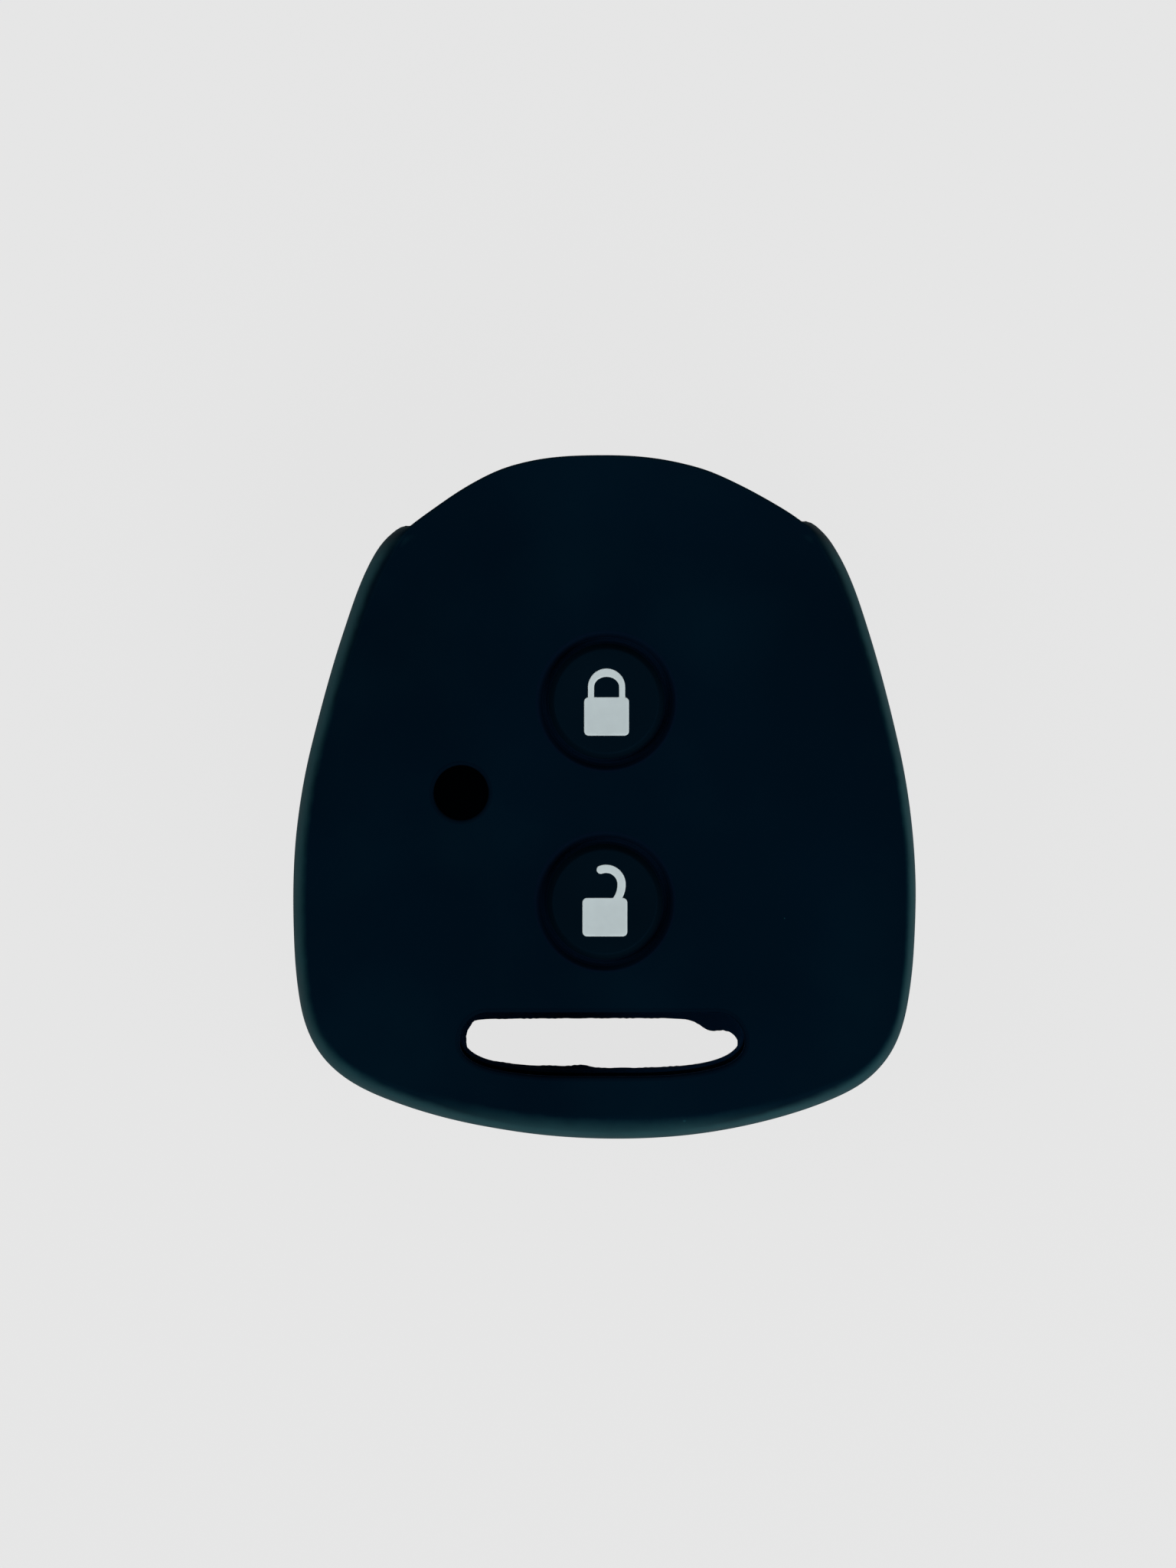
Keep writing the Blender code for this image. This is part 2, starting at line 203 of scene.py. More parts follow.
class SleeveSizes(PropertyGroup):
    """Sizes of the moulded sleeve."""
    width: length("Width", "Across the flanks", sleeve_high.x - sleeve_low.x)
    length: length("Length", "From the bottom to the top of the dome", sleeve_high.y - sleeve_low.y)
    depth: length("Depth", "From the back to the front face", sleeve_high.z - sleeve_low.z)
    panel_wall: length("Panel wall", "Thickness of the front and back panels", 0.0015)
    flank_wall: length("Flank wall", "Thickness round the flanks and the bottom", 0.0016)
    flank_rim: length("Flank rim", "How far the face's edge lies inside the flank", 0.00085)
    left_rim: length("Left rim", "How much wider that rim is on the left flank", 0.00025)
    bottom_rim: length("Bottom rim", "How far the face's edge lies inside the bottom", 0.0019)
    rim_depth: length("Rim depth", "How deep the rolled rim reaches", 0.0045)
    edge_radius: length("Edge radius", "Rounded edges of the dome and the openings", 0.0002)
    inner_fillet: length("Inner fillet", "Inside corners between wall and panels", 0.0008)
    mouth_lip: length("Mouth lip", "Cut end of the flank wall beside the mouth", 0.0012)
    mouth_radius: length("Mouth radius", "Rounded edge round the mouth", 0.00025)
    lip_rounding: length("Lip rounding", "How far the thin lip's tip is rounded back", 0.0006)
    parting_height: length("Parting line", "Height of the fine line round mid depth", 0.00004)
    parting_width: length("Parting width", "Half width of that line", 0.00005)
    unevenness: length("Unevenness", "How far the outline lies out of true at most", 0.0003)

    @property
    def inside(self):
        """Height of the front panel's inner side."""
        return self.depth - self.panel_wall


class OpeningSizes(PropertyGroup):
    """Sizes of the key ring slot and of the pilot light window."""
    slot_width: length("Slot width", "Key ring slot, along X", 0.0204)
    slot_height: length("Slot height", "Key ring slot, along Y at its middle", 0.0046)
    slot_setback: length("Slot setback", "From the bottom edge up to the slot", 0.0047)
    slot_offset: length("Slot offset", "How far the slot lies left of the middle", 0.00015)
    slot_edge: length("Slot edge", "Radius of the slot's edge in the front face", 0.00022)
    flash_thickness: length("Flash", "Thickness of the skin left in the back slot", 0.00022)
    window_diameter: length("Window", "Diameter of the pilot light window", 0.00394)
    window_offset: length("Window offset", "How far it lies left of the middle", 0.01024)
    window_setback: length("Window setback", "From the bottom edge up to its centre", 0.0250)


class PadSizes(PropertyGroup):
    """Sizes of the press pads, their grooves and their webs."""
    top: length("Pad top", "Height of a pad's rim", lock_high.z)
    bottom: length("Pad bottom", "Height of the nub's end", lock_low.z)
    dish: length("Dish", "How far the middle of a pad lies below its rim", 0.00018)
    dish_radius: length("Dish radius", "Radius of the dished top", 0.0035)
    shoulder: length("Shoulder", "Radius where a pad starts to fall to the groove", 0.00362)
    skin_inside: length("Skin inside", "Radius where the bending skin meets the pad", 0.00415)
    groove: length("Groove", "Radius of the middle of the groove", 0.004375)
    skin_outside: length("Skin outside", "Radius where the skin meets the sleeve", 0.0046)
    lip: length("Lip", "Radius where the face starts to fall to the groove", 0.00497)
    groove_floor: length("Groove floor", "Height of the bottom of the groove", web_high.z)
    bend: FloatProperty(
        name="Bend", description="Exponent of a pad's rounding", default=1.25)
    boss_diameter: length("Nub diameter", "The nub below a pad", 0.0044)
    lock_shift: length("Lock pad shift", "How far it sits right of its packed solid", 0.00016)
    unlock_shift: length("Unlock pad shift", "How far it sits right of its solid", 0.00004)
    overlap: length("Overlap", "How far a web runs into what carries it", 0.00002)


class SignSizes(PropertyGroup):
    """Sizes of the padlock signs."""
    body_width: length("Body width", "Padlock body", 0.00321)
    body_height: length("Body height", "Padlock body", 0.00275)
    body_corner: length("Body corner", "Radius of its corners", 0.00033)
    body_top: length("Body top", "Above the pad's centre", 0.00029)
    shackle_width: length("Shackle width", "Closed shackle, outside", 0.00266)
    shackle_rise: length("Shackle rise", "Its top above the body", 0.00205)
    shackle_leg: length("Shackle leg", "Thickness of its legs", 0.00044)
    shackle_crown: length("Shackle crown", "Thickness at its top", 0.00060)
    hook_radius: length("Hook radius", "Middle line of the open shackle", 0.00111)
    hook_shift: length("Hook shift", "Its centre right of the body's middle", 0.00008)
    hook_rise: length("Hook rise", "Its centre above the body", 0.00097)
    hook_stroke: length("Hook stroke", "Thickness of the open shackle", 0.00060)
    hook_foot: length("Hook foot", "Upright half axis of its inner edge below the centre", 0.00122)
    hook_heel: length("Hook heel", "Upright half axis of its outer edge below the centre", 0.00172)
    hook_end: angle("Hook end", "Where the open shackle's free end lies", 110.0)
    edge: length("Print edge", "Rounded edge of the print", 0.00005)
    low: length("Print foot", "Height of the print's underside", sign_low.z)
    high: length("Print top", "Height of the print's top", sign_high.z)


class CoverFinish(PropertyGroup):
    """Colours and finishes."""
    silicone: colour("Silicone", "Body colour of the sleeve", (0.0003, 0.0041, 0.0097))
    edge: colour("Edge", "Body colour of the rounded edges of the holes", (0.0004, 0.0034, 0.0082))
    groove: colour("Groove", "Body colour of the grooves' lips", (0.0008, 0.0042, 0.0108))
    # Painted light: the slot's wall is about three times lighter than the body silicone, so that it
    # shows navy in its shade.
    wall: colour("Wall", "Body colour of the slot's wall in the front panel", (0.002, 0.013, 0.036))
    # Painted light: the flash's colour is about eight times lighter than the body, standing in for
    # light in the shade behind the slot.
    flash: colour("Flash", "Body colour of the thin skin in the back slot", (0.005, 0.034, 0.090))
    # Painted light: the webs' colour is lighter than the body, standing in for light at the shaded
    # bottom of the grooves.
    web: colour("Web", "Body colour of the thin skins", (0.0014, 0.0066, 0.0172))
    pad: colour("Pad", "Body colour of the pads", (0.0007, 0.0045, 0.0088))
    cast: colour("Cast", "Tint of the light that the silicone mirrors", (0.02, 0.22, 0.50))
    # Painted highlight: the colour of the pale band painted on the rolled rim, in place of the
    # light and reflection it catches.
    rim_highlight: colour("Rim highlight", "Film on the rolled rim", (0.0100, 0.043, 0.052))
    bloom: colour("Bloom", "Tint of the soft bloom at grazing angles", (0.16, 0.95, 1.0))
    dust: colour("Dust", "Colour of settled dust", (0.008, 0.045, 0.060))
    print: colour("Print", "Colour of the padlock signs", (0.52, 0.60, 0.615))
    floor: colour("Floor", "Colour of the floor and the backdrop", (0.768, 0.768, 0.768))
    bounce: share("Bounce", "How much of that colour the floor throws back", 0.62)
    sleeve_roughness: share("Sleeve roughness", "Matt moulded silicone", 0.55)
    pad_roughness: share("Pad roughness", "A little smoother than the sleeve", 0.47)
    print_roughness: share("Print roughness", "Satin print", 0.50)


class StageSizes(PropertyGroup):
    """Sizes of the stage, the lights and the camera."""
    floor_side: length("Floor side", "Side of the floor", 6.0)
    lamp_side: length("Lamp side", "Side of each soft lamp", 0.40)
    lamp_distance: length("Lamp distance", "From the cover", 0.60)
    key_height: angle("Key height", "Elevation of the two lamps on the lower right", 35.0)
    fill_height: angle("Fill height", "Elevation of the two lamps opposite", 45.0)
    camera_height: length("Camera height", "Above the floor", 0.515)
    camera_x: FloatProperty(name="Camera X", description="Place of the camera along X",
                            default=-0.001165, unit='LENGTH', precision=5)
    camera_y: FloatProperty(name="Camera Y", description="Place of the camera along Y",
                            default=0.00107, unit='LENGTH', precision=5)


# Curves

def unit(degrees):
    """Unit vectors along headings, counted from +X towards +Y."""
    angles = np.radians(degrees)
    return np.stack([np.cos(angles), np.sin(angles)], axis=-1)


def beside(along):
    """Unit vectors to the right of directions."""
    along = along / np.linalg.norm(along, axis=1, keepdims=True)
    return np.stack([along[:, 1], -along[:, 0]], axis=1)


def chain(knots, at):
    """Points and outward normals on a chain of cubic curves, at places counted in stretches.

    A knot is x, y, heading on arriving, heading on leaving. A stretch from A to D has the control
    points B and C along the two headings, chord / (3 cos^2(turn / 4)) from its ends, which makes
    it an arc where the chord halves the turn. The point is
    (1-t)^3 A + 3 (1-t)^2 t B + 3 (1-t) t^2 C + t^3 D.
    """
    knots = np.asarray(knots, float)
    at = np.asarray(at, float)
    number = np.clip(at.astype(int), 0, len(knots) - 2)
    t = (at - number)[:, None]
    start, end = knots[number, :2], knots[number + 1, :2]
    leaving, arriving = knots[number, 3], knots[number + 1, 2]
    turn = np.radians(np.abs(arriving - leaving))
    reach = (np.linalg.norm(end - start, axis=1) / (3 * np.cos(turn / 4) ** 2))[:, None]
    first = start + reach * unit(leaving)
    second = end - reach * unit(arriving)
    points = ((1 - t) ** 3 * start + 3 * (1 - t) ** 2 * t * first
              + 3 * (1 - t) * t ** 2 * second + t ** 3 * end)
    along = ((1 - t) ** 2 * (first - start) + 2 * (1 - t) * t * (second - first)
             + t ** 2 * (end - second))
    return points, beside(along)


def ruler(knots, first, last):
    """Many places along a part of a chain, and how far each lies from the first."""
    fine = np.linspace(first, last, 900)
    steps = np.linalg.norm(np.diff(chain(knots, fine)[0], axis=0), axis=1)
    return fine, np.concatenate([[0.0], np.cumsum(steps)])


def evenly(knots, first, last, spacing):
    """Places on a chain about one spacing apart, both ends among them."""
    fine, run = ruler(knots, first, last)
    count = max(2, math.ceil(run[-1] / spacing))
    return np.interp(np.linspace(0, run[-1], count + 1), run, fine)


def mirrored(right):
    """Points on the other side of X = 0."""
    return right * np.array([-1.0, 1.0, 1.0])[:right.shape[-1]]


def both_sides(right, left=None):
    """A closed ring from its right half, whose two ends lie on X = 0.

    The left half is given mirrored, and is the same one where none is given.
    """
    left = right if left is None else left
    return np.concatenate([right, mirrored(left[..., -2:0:-1, :])], axis=-2)


def across(right, left=None):
    """An open path from its right half, whose first point lies on X = 0, as both_sides does it."""
    left = right if left is None else left
    return np.concatenate([mirrored(left[..., :0:-1, :]), right], axis=-2)


def raised(points, height):
    """Flat points lifted to a height, which is one number or one for each point."""
    heights = np.broadcast_to(height, points.shape[:-1])
    return np.concatenate([points, heights[..., None]], axis=-1)


def closed_curve(knots, count):
    """A smooth closed curve through knots, cut into equal lengths.

    Between knots B and C with A before and D after, the point is half of
    2B + (C - A) t + (2A - 5B + 4C - D) t^2 + (3B - A - 3C + D) t^3.
    """
    knots = np.asarray(knots, float)
    at = np.linspace(0, len(knots), 40 * len(knots) + 1)
    number = at.astype(int)
    t = (at - number)[:, None]
    a, b, c, d = (knots[(number + step) % len(knots)] for step in (-1, 0, 1, 2))
    fine = 0.5 * (2 * b + (c - a) * t + (2 * a - 5 * b + 4 * c - d) * t ** 2
                  + (3 * b - a - 3 * c + d) * t ** 3)
    run = np.concatenate([[0.0], np.cumsum(np.linalg.norm(np.diff(fine, axis=0), axis=1))])
    wanted = np.linspace(0, run[-1], count, endpoint=False)
    return np.stack([np.interp(wanted, run, fine[:, axis]) for axis in (0, 1)], axis=1)


def ring_normals(ring):
    """Outward unit normals of a flat closed ring that runs anticlockwise.

    Each is square to the line between the two neighbours of its point.
    """
    return beside(np.roll(ring, -1, axis=0) - np.roll(ring, 1, axis=0))


def round_ring(radius, count, centre=(0.0, 0.0)):
    """Points and outward normals of a circle."""
    normals = unit(np.arange(count) * 360.0 / count)
    return np.asarray(centre) + radius * normals, normals


def smooth(value, low, high):
    """0 below low, 1 above high, and 3t^2 - 2t^3 between them."""
    t = np.clip((value - low) / (high - low), 0, 1)
    return t * t * (3 - 2 * t)


def quarter(steps):
    """A quarter round: how far in from the side, 1 to 0, and down from the face, 0 to 1."""
    turn = np.linspace(0, math.pi / 2, steps + 1)
    return 1 - np.sin(turn), 1 - np.cos(turn)


def within(places, ring):
    """Which flat places lie inside a ring: a line from them to the right crosses it oddly often."""
    start, end = ring[:, :2], np.roll(ring[:, :2], -1, axis=0)
    level = places[:, 1:]
    spans = (start[:, 1] > level) != (end[:, 1] > level)
    rise = np.where(start[:, 1] == end[:, 1], 1.0, end[:, 1] - start[:, 1])
    crossing = start[:, 0] + (level - start[:, 1]) / rise * (end[:, 0] - start[:, 0])
    return (spans & (places[:, :1] < crossing)).sum(1) % 2 == 1


# Surfaces

class Skin:
    """The patches of one closed surface, which are joined where their borders meet."""

    def __init__(self):
        self.points = []
        self.faces = []
        self.finishes = []
        self.count = 0

    def add(self, points, faces, finish=body_finish):
        """Take in a patch, whose faces count its own points, and the number of its material."""
        self.points.append(points.reshape(-1, 3))
        self.faces += (faces + self.count).tolist()
        self.finishes += [finish] * len(faces)
        self.count += len(self.points[-1])

    def grid(self, rows, finish=body_finish, closed=True):
        """A patch of faces between rows and columns of points, the last joined to the first."""
        index = np.arange(rows.shape[0] * rows.shape[1]).reshape(rows.shape[:2])
        if closed:
            index = np.hstack([index, index[:, :1]])
        corners = [index[:-1, :-1], index[1:, :-1], index[1:, 1:], index[:-1, 1:]]
        self.add(rows, np.stack(corners, axis=-1).reshape(-1, 4), finish)

    def fill(self, outside, holes=(), inner=None):
        """A flat patch at one height inside a ring and outside the rings of its holes.

        Points given as inner are taken in as corners too.
        """
        rings = [outside, *holes]
        starts = np.cumsum([0] + [len(ring) for ring in rings])
        edges = np.concatenate([
            np.stack([np.arange(a, b), np.roll(np.arange(a, b), -1)], axis=1)
            for a, b in zip(starts, starts[1:])])
        flat = np.concatenate(rings if inner is None else [*rings, inner])
        corners, _, faces, *_ = delaunay_2d_cdt(
            [Vector(point[:2]) for point in flat.tolist()], edges.tolist(), [], 2, 1e-9)
        found, faces = np.array([tuple(corner) for corner in corners]), np.array(faces)
        for hole in holes:
            faces = faces[~within(found[faces].mean(1), hole)]
        self.add(raised(found, flat[0, 2]), faces)

    def made(self, name):
        """The closed mesh, with its faces turned outwards, as an object."""
        mesh = bpy.data.meshes.new(name)
        mesh.from_pydata(np.concatenate(self.points).tolist(), [], self.faces)
        mesh.polygons.foreach_set("material_index", self.finishes)
        work = bmesh.new()
        work.from_mesh(mesh)
        bmesh.ops.remove_doubles(work, verts=work.verts, dist=weld_distance)
        bmesh.ops.dissolve_degenerate(work, edges=work.edges, dist=1e-8)
        open_edges = sum(len(edge.link_faces) != 2 for edge in work.edges)
        if open_edges:
            raise RuntimeError(f"{name}: {open_edges} edges of its surface are not closed")
        bmesh.ops.recalc_face_normals(work, faces=work.faces)
        work.to_mesh(mesh)
        work.free()
        mesh.shade_smooth()
        mark_rubbed(mesh)
        return added(name, mesh)


def added(name, data):
    """A new object in the scene."""
    made = bpy.data.objects.new(name, data)
    bpy.context.scene.collection.objects.link(made)
    return made


def table(items, label, width, kind=float):
    """What Blender keeps for each vertex or edge, such as its place, as the rows of an array."""
    flat = np.zeros(len(items) * width, kind)
    items.foreach_get(label, flat)
    return flat.reshape(-1, width)


def mark(mesh, name, values):
    """Write one number for each point of a mesh."""
    data = mesh.attributes.new(name, 'FLOAT', 'POINT').data
    data.foreach_set("value", values.astype(np.float32))


def mark_rubbed(mesh):
    """Write the attribute "rub": 1 where the surface turns outwards sharply, 0 where it is flat.

    Along an edge between points p and q with normals m and n, the turn is (n - m).(q - p) over
    the squared length of the edge. A point takes the mean of its edges, and a turn on the sharp
    radius or less counts in full.
    """
    places = table(mesh.vertices, "co", 3)
    normals = table(mesh.vertex_normals, "vector", 3)
    ends = table(mesh.edges, "vertices", 2, int)
    step, change = (rows[ends[:, 1]] - rows[ends[:, 0]] for rows in (places, normals))
    turn = (change * step).sum(1) / np.maximum((step ** 2).sum(1), 1e-12)
    total = sum(np.bincount(ends[:, side], turn, len(places)) for side in (0, 1))
    number = np.bincount(ends.ravel(), minlength=len(places))
    mark(mesh, "rub", np.clip(total / np.maximum(number, 1) * sharp_radius, 0, 1))


def mark_rim(mesh, outline, block=2000):
    """Write the attribute "rim": how far each point lies from the outline, seen from above.

    With w from a chord's first corner to the point and d along the chord, the distance to it is
    |w - clip(w.d / d.d, 0, 1) d|, and the least one counts. It is worked out in blocks of points.
    """
    flat = table(mesh.vertices, "co", 3)[:, :2]
    step = np.roll(outline, -1, axis=0) - outline
    rim = []
    for first in range(0, len(flat), block):
        away = flat[first:first + block, None] - outline
        along = np.clip((away * step).sum(-1) / (step ** 2).sum(-1), 0, 1)
        rim.append(np.linalg.norm(away - along[..., None] * step, axis=-1).min(1))
    mark(mesh, "rim", np.concatenate(rim))


def lathe(profile, centre):
    """Rows of points turned on an upright axis: each radius and height makes a ring."""
    flat = np.asarray(centre) + profile[:, None, :1] * round_ring(1.0, round_count)[0]
    return raised(flat, profile[:, 1:])


def turned(name, profile, centre):
    """A piece turned on an upright axis from a profile of radii and heights.

    A profile that starts and ends on the axis is closed by its poles. Any other is closed by its
    last point meeting its first.
    """
    if profile[0, 0] > 0:
        profile = np.vstack([profile, profile[:1]])
    skin = Skin()
    skin.grid(lathe(profile, centre))
    return skin.made(name)


def hole_edge(points, normals, face, inside, face_radius, inside_radius):
    """The rows of a hole's wall from the face in to the panel's other side, both edges rounded.

    Each end starts with a flat row just outside the rounded edge, so that the face stays flat.
    """
    down = np.sign(inside - face)
    width, fall = quarter(hole_steps)
    offsets = [face_radius + flat_margin, *(face_radius * width), *(inside_radius * width[::-1]),
               inside_radius + flat_margin]
    heights = [face, *(face + down * face_radius * fall),
               *(inside - down * inside_radius * fall[::-1]), inside]
    return np.stack([raised(points + offset * normals, height)
                     for offset, height in zip(offsets, heights)])


# Sleeve

def sleeve_knots(s, extra=0.0):
    """The knots of the outline and of the face's edge, in metres, the flank rim so much wider."""
    shares = np.array(outline_shares)
    outline = shares[:, :4] * (s.width / 2, s.length, 1, 1)
    rim = shares[:, 5] * (s.flank_rim + extra) + shares[:, 6] * s.bottom_rim
    edge = outline[:, :2] - rim[:, None] * unit(shares[:, 4] - 90)
    face = np.hstack([edge, shares[:, 4:5], shares[:, 4:5]])
    return outline, face


def turned_over(s, rows):
    """Points of the front as they lie on the back."""
    return rows * (1, 1, -1) + (0, 0, s.depth)


def sleeve_columns(s, extra=0.0):
    """The right half of the outline cut into columns, with what each needs.

    They run from the middle of the bottom up the flank to the notch, on along the wall's cut end
    to the mouth, round the mouth's corner and along the dome to its middle. foot is the height
    where a column's crown ends: on the belt, or on the rounded edge of the mouth.
    """
    outline, face = sleeve_knots(s, extra)
    wedge = math.radians(outline[notch_row, 3] - mouth_heading)
    reach = s.inner_fillet / math.sin(wedge)
    turn = np.linspace(0, math.pi / 2, fillet_count)
    fine, run = ruler(outline, notch_row, len(outline) - 1)
    cut_end = np.linspace(0, s.mouth_lip - s.lip_rounding, lip_steps + 1)[1:]
    corner = s.mouth_lip - s.lip_rounding + (reach + s.lip_rounding) * (1 - np.cos(turn[1:]))
    dome = np.linspace(corner[-1], run[-1], dome_steps + 1)[1:]
    flank_at = evenly(outline, 0, notch_row, flank_spacing)
    dome_at = np.interp(np.concatenate([cut_end, corner, dome]), run, fine)
    at = np.concatenate([flank_at, dome_at])
    points, normals = chain(outline, at)
    bare = smooth(at, shoulder_start, shoulder_end)
    rim = chain(face, at)[0] - points - (bare * s.edge_radius)[:, None] * normals
    jamb = len(flank_at) + len(cut_end) - 1
    low = s.inside - s.inner_fillet
    foot = np.full(len(at), s.inside + s.mouth_radius)
    foot[:jamb + 1] = low
    rising = slice(jamb + 1, jamb + fillet_count)
    foot[rising] = low + (s.inner_fillet + s.mouth_radius) * np.sin(turn[1:])
    # The mouth's sharp edge, which its rounding is drawn round
    sharp_run = np.concatenate([s.mouth_lip + reach * (1 - np.cos(turn)), dome])
    sharp, sharp_normals = chain(outline, np.interp(sharp_run, run, fine))
    sharp_high = np.full(len(sharp), s.inside)
    sharp_high[:fillet_count] = low + s.inner_fillet * np.sin(turn)
    under_lip = sharp[fillet_count:] - s.mouth_radius * sharp_normals[fillet_count:]
    return SimpleNamespace(
        points=points, normals=normals, rim=rim, bare=bare, jamb=jamb, foot=foot, turn=turn,
        roll=s.rim_depth * (1 - bare) + s.edge_radius * bare, low=low, wedge=wedge,
        sharp=raised(sharp, sharp_high), under_lip=raised(under_lip, s.inside),
        corner=outline[notch_row, :2] + s.mouth_lip * unit(outline[notch_row, 3]))


def rim_lean(drop, roll):
    """How far the rim leans in at a drop below the face, of its width: a quarter ellipse."""
    return 1 - np.sqrt(1 - (1 - np.clip(drop / roll, 0, 1)) ** 2)


def crown_rows(s, c):
    """The right half of the rim, from the flat of the face down to the belt and the mouth.

    On the flank a row's drop is roll (1 - cos(a)), with the angle a growing as the 1.5th power of
    its number. On the dome it rounds the small edge and then falls straight.
    """
    part = np.linspace(0, 1, crown_steps + 1)[:, None]
    fall = s.depth - c.foot
    last = np.arccos(1 - np.minimum(fall, s.rim_depth) / s.rim_depth)
    flank = s.rim_depth * (1 - np.cos(last * part ** 1.5))
    edge_part = 0.45
    round_drop = s.edge_radius * (1 - np.cos(math.pi / 2 * np.minimum(part / edge_part, 1)))
    straight = (fall - s.edge_radius) * np.maximum(part - edge_part, 0) / (1 - edge_part)
    drop = flank * (1 - c.bare) + (round_drop + straight) * c.bare
    lean = rim_lean(drop, c.roll)
    flat = c.points + c.rim * (1 + flat_margin / np.linalg.norm(c.rim, axis=1))[:, None]
    rows = raised(c.points + c.rim * lean[..., None], s.depth - drop)
    return np.concatenate([raised(flat, s.depth)[None], rows])


def belt_levels(s, low):
    """Heights of the belt's rows, close together at the parting line, from the top down."""
    middle = s.depth / 2
    upper = np.concatenate([np.linspace(low, middle + parting_levels[0], 9),
                            middle + np.array(parting_levels[1:])])
    return np.concatenate([upper, [middle], s.depth - upper[::-1]])


def belt_rows(s, c, levels):
    """The right half of the flank between the two crowns, with the parting line.

    The line stands out by height * exp(-(distance from mid depth / half width)^2).
    """
    columns = slice(0, c.jamb + 1)
    drop = np.minimum(levels, s.depth - levels)[:, None]
    lean = rim_lean(drop, c.roll[columns])
    line = s.parting_height * np.exp(-((levels - s.depth / 2) / s.parting_width) ** 2)
    out = line[:, None] * (1 - c.bare[columns])
    flat = (c.points[columns] + c.rim[columns] * lean[..., None]
            + c.normals[columns] * out[..., None])
    return raised(flat, levels[:, None])


def lip_ends(s, c):
    """Where the mouth's rounding meets the cavity: one point for each step of the fillet.

    Each lies on its line of the fillet, which leaves along the mouth's heading, so far back from
    the sharp edge that the rounding has room.
    """
    way, inwards = unit(mouth_heading), unit(mouth_heading + 90)
    lean = s.inner_fillet * (1 - np.cos(c.turn))
    room = s.lip_rounding + (s.mouth_radius / math.sin(c.wedge) - s.lip_rounding) * np.sin(c.turn)
    ahead = (c.sharp[:fillet_count, :2] - c.corner) @ way - room
    return c.corner + lean[:, None] * inwards + ahead[:, None] * way


def cavity_rows(s, c, levels):
    """The right half of the cavity's wall with its fillets, from panel to panel.

    A row is the cavity's path moved inwards by its lean, and its last columns run straight to the
    mouth's rounding.
    """
    flank = sleeve_knots(s)[0][:last_flank_row + 1]
    flank[:, :2] -= s.flank_wall * unit(flank[:, 2] - 90)
    path = np.vstack([flank, [*c.corner, mouth_heading, mouth_heading]])
    fine, run = ruler(path, 0, len(path) - 1)
    stop = run[-1] - 2 * s.lip_rounding
    points, normals = chain(path, np.interp(np.linspace(0, stop, cavity_count), run, fine))
    ends = lip_ends(s, c)
    ends = np.vstack([ends, ends[-1] + flat_margin * unit(mouth_heading + 90)])
    lean = np.append(s.inner_fillet * (1 - np.cos(c.turn)), s.inner_fillet + flat_margin)
    high = np.append(c.low + s.inner_fillet * np.sin(c.turn), s.inside)
    rows = points - lean[:, None, None] * normals
    ramp = np.linspace(0, 1, 6)[1:, None]
    rows = np.concatenate([rows, rows[:, -1:] + (ends[:, None] - rows[:, -1:]) * ramp], axis=1)
    front = raised(rows, high[:, None])[::-1]
    wall = raised(np.repeat(rows[:1], len(levels) - 2, axis=0), levels[1:-1, None])
    return np.concatenate([front, wall, turned_over(s, front[::-1])])


def slot_place(s, o):
    """The middle of the slot's lower edge."""
    return -o.slot_offset, o.slot_setback - s.length / 2


def slot_ring(s, o):
    """Points and normals of the key ring slot."""
    knots = np.array(slot_shares) * (o.slot_width / 2, o.slot_height, 1, 1)
    points, normals = chain(knots, evenly(knots, 0, len(knots) - 1, slot_spacing))
    return both_sides(points) + slot_place(s, o), both_sides(normals)


def flash_rows(s, o, points, normals):
    """The slot's wall through the back panel, and the thin skin of flash that narrows it.

    The skin runs from the wall to its ragged free edge, which is rounded.
    """
    count = len(points)
    shares = np.array(flash_shares) * (o.slot_width / 2, o.slot_height)
    free = closed_curve(shares, count) + slot_place(s, o)
    turn = np.arange(count) * 2 * math.pi / count
    rag = sum(high * np.sin(turn * number + phase) for high, number, phase in rag_waves)
    free = free - (rag_base + np.abs(rag))[:, None] * ring_normals(free)
    wall = hole_edge(points, normals, s.panel_wall, 0.0, hidden_edge, s.edge_radius)[:edge_rows]
    rows = [raised(points + (free - points) * part, o.flash_thickness * height)
            for part, height in flash_section]
    rows.append(raised(free + flash_margin * ring_normals(free), 0.0))
    return np.concatenate([wall, np.stack(rows)])


def mouth_rows(s, c, crown_foot, belt_end, cavity_end, levels):
    """The right half of the mouth's rounded edge, from the outside to the cavity.

    It bends on a parabola round the sharp edge, (1-v)^2 outer + 2 v (1-v) sharp + v^2 inner.
    """
    def loop(top, upright):
        """Along the dome from its middle, down the wall's cut end and back along the dome."""
        return np.concatenate([top, upright, turned_over(s, top)[::-1]])

    outer = loop(crown_foot[:c.jamb:-1], belt_end)
    sharp = loop(c.sharp[:0:-1], raised(np.repeat(c.sharp[:1, :2], len(levels), axis=0), levels))
    inner = loop(np.concatenate([c.under_lip[::-1], cavity_end[1:fillet_count]]),
                 cavity_end[fillet_count:-fillet_count])
    v = np.linspace(0, 1, 8)[:, None, None]
    return (1 - v) ** 2 * outer + 2 * v * (1 - v) * sharp + v ** 2 * inner


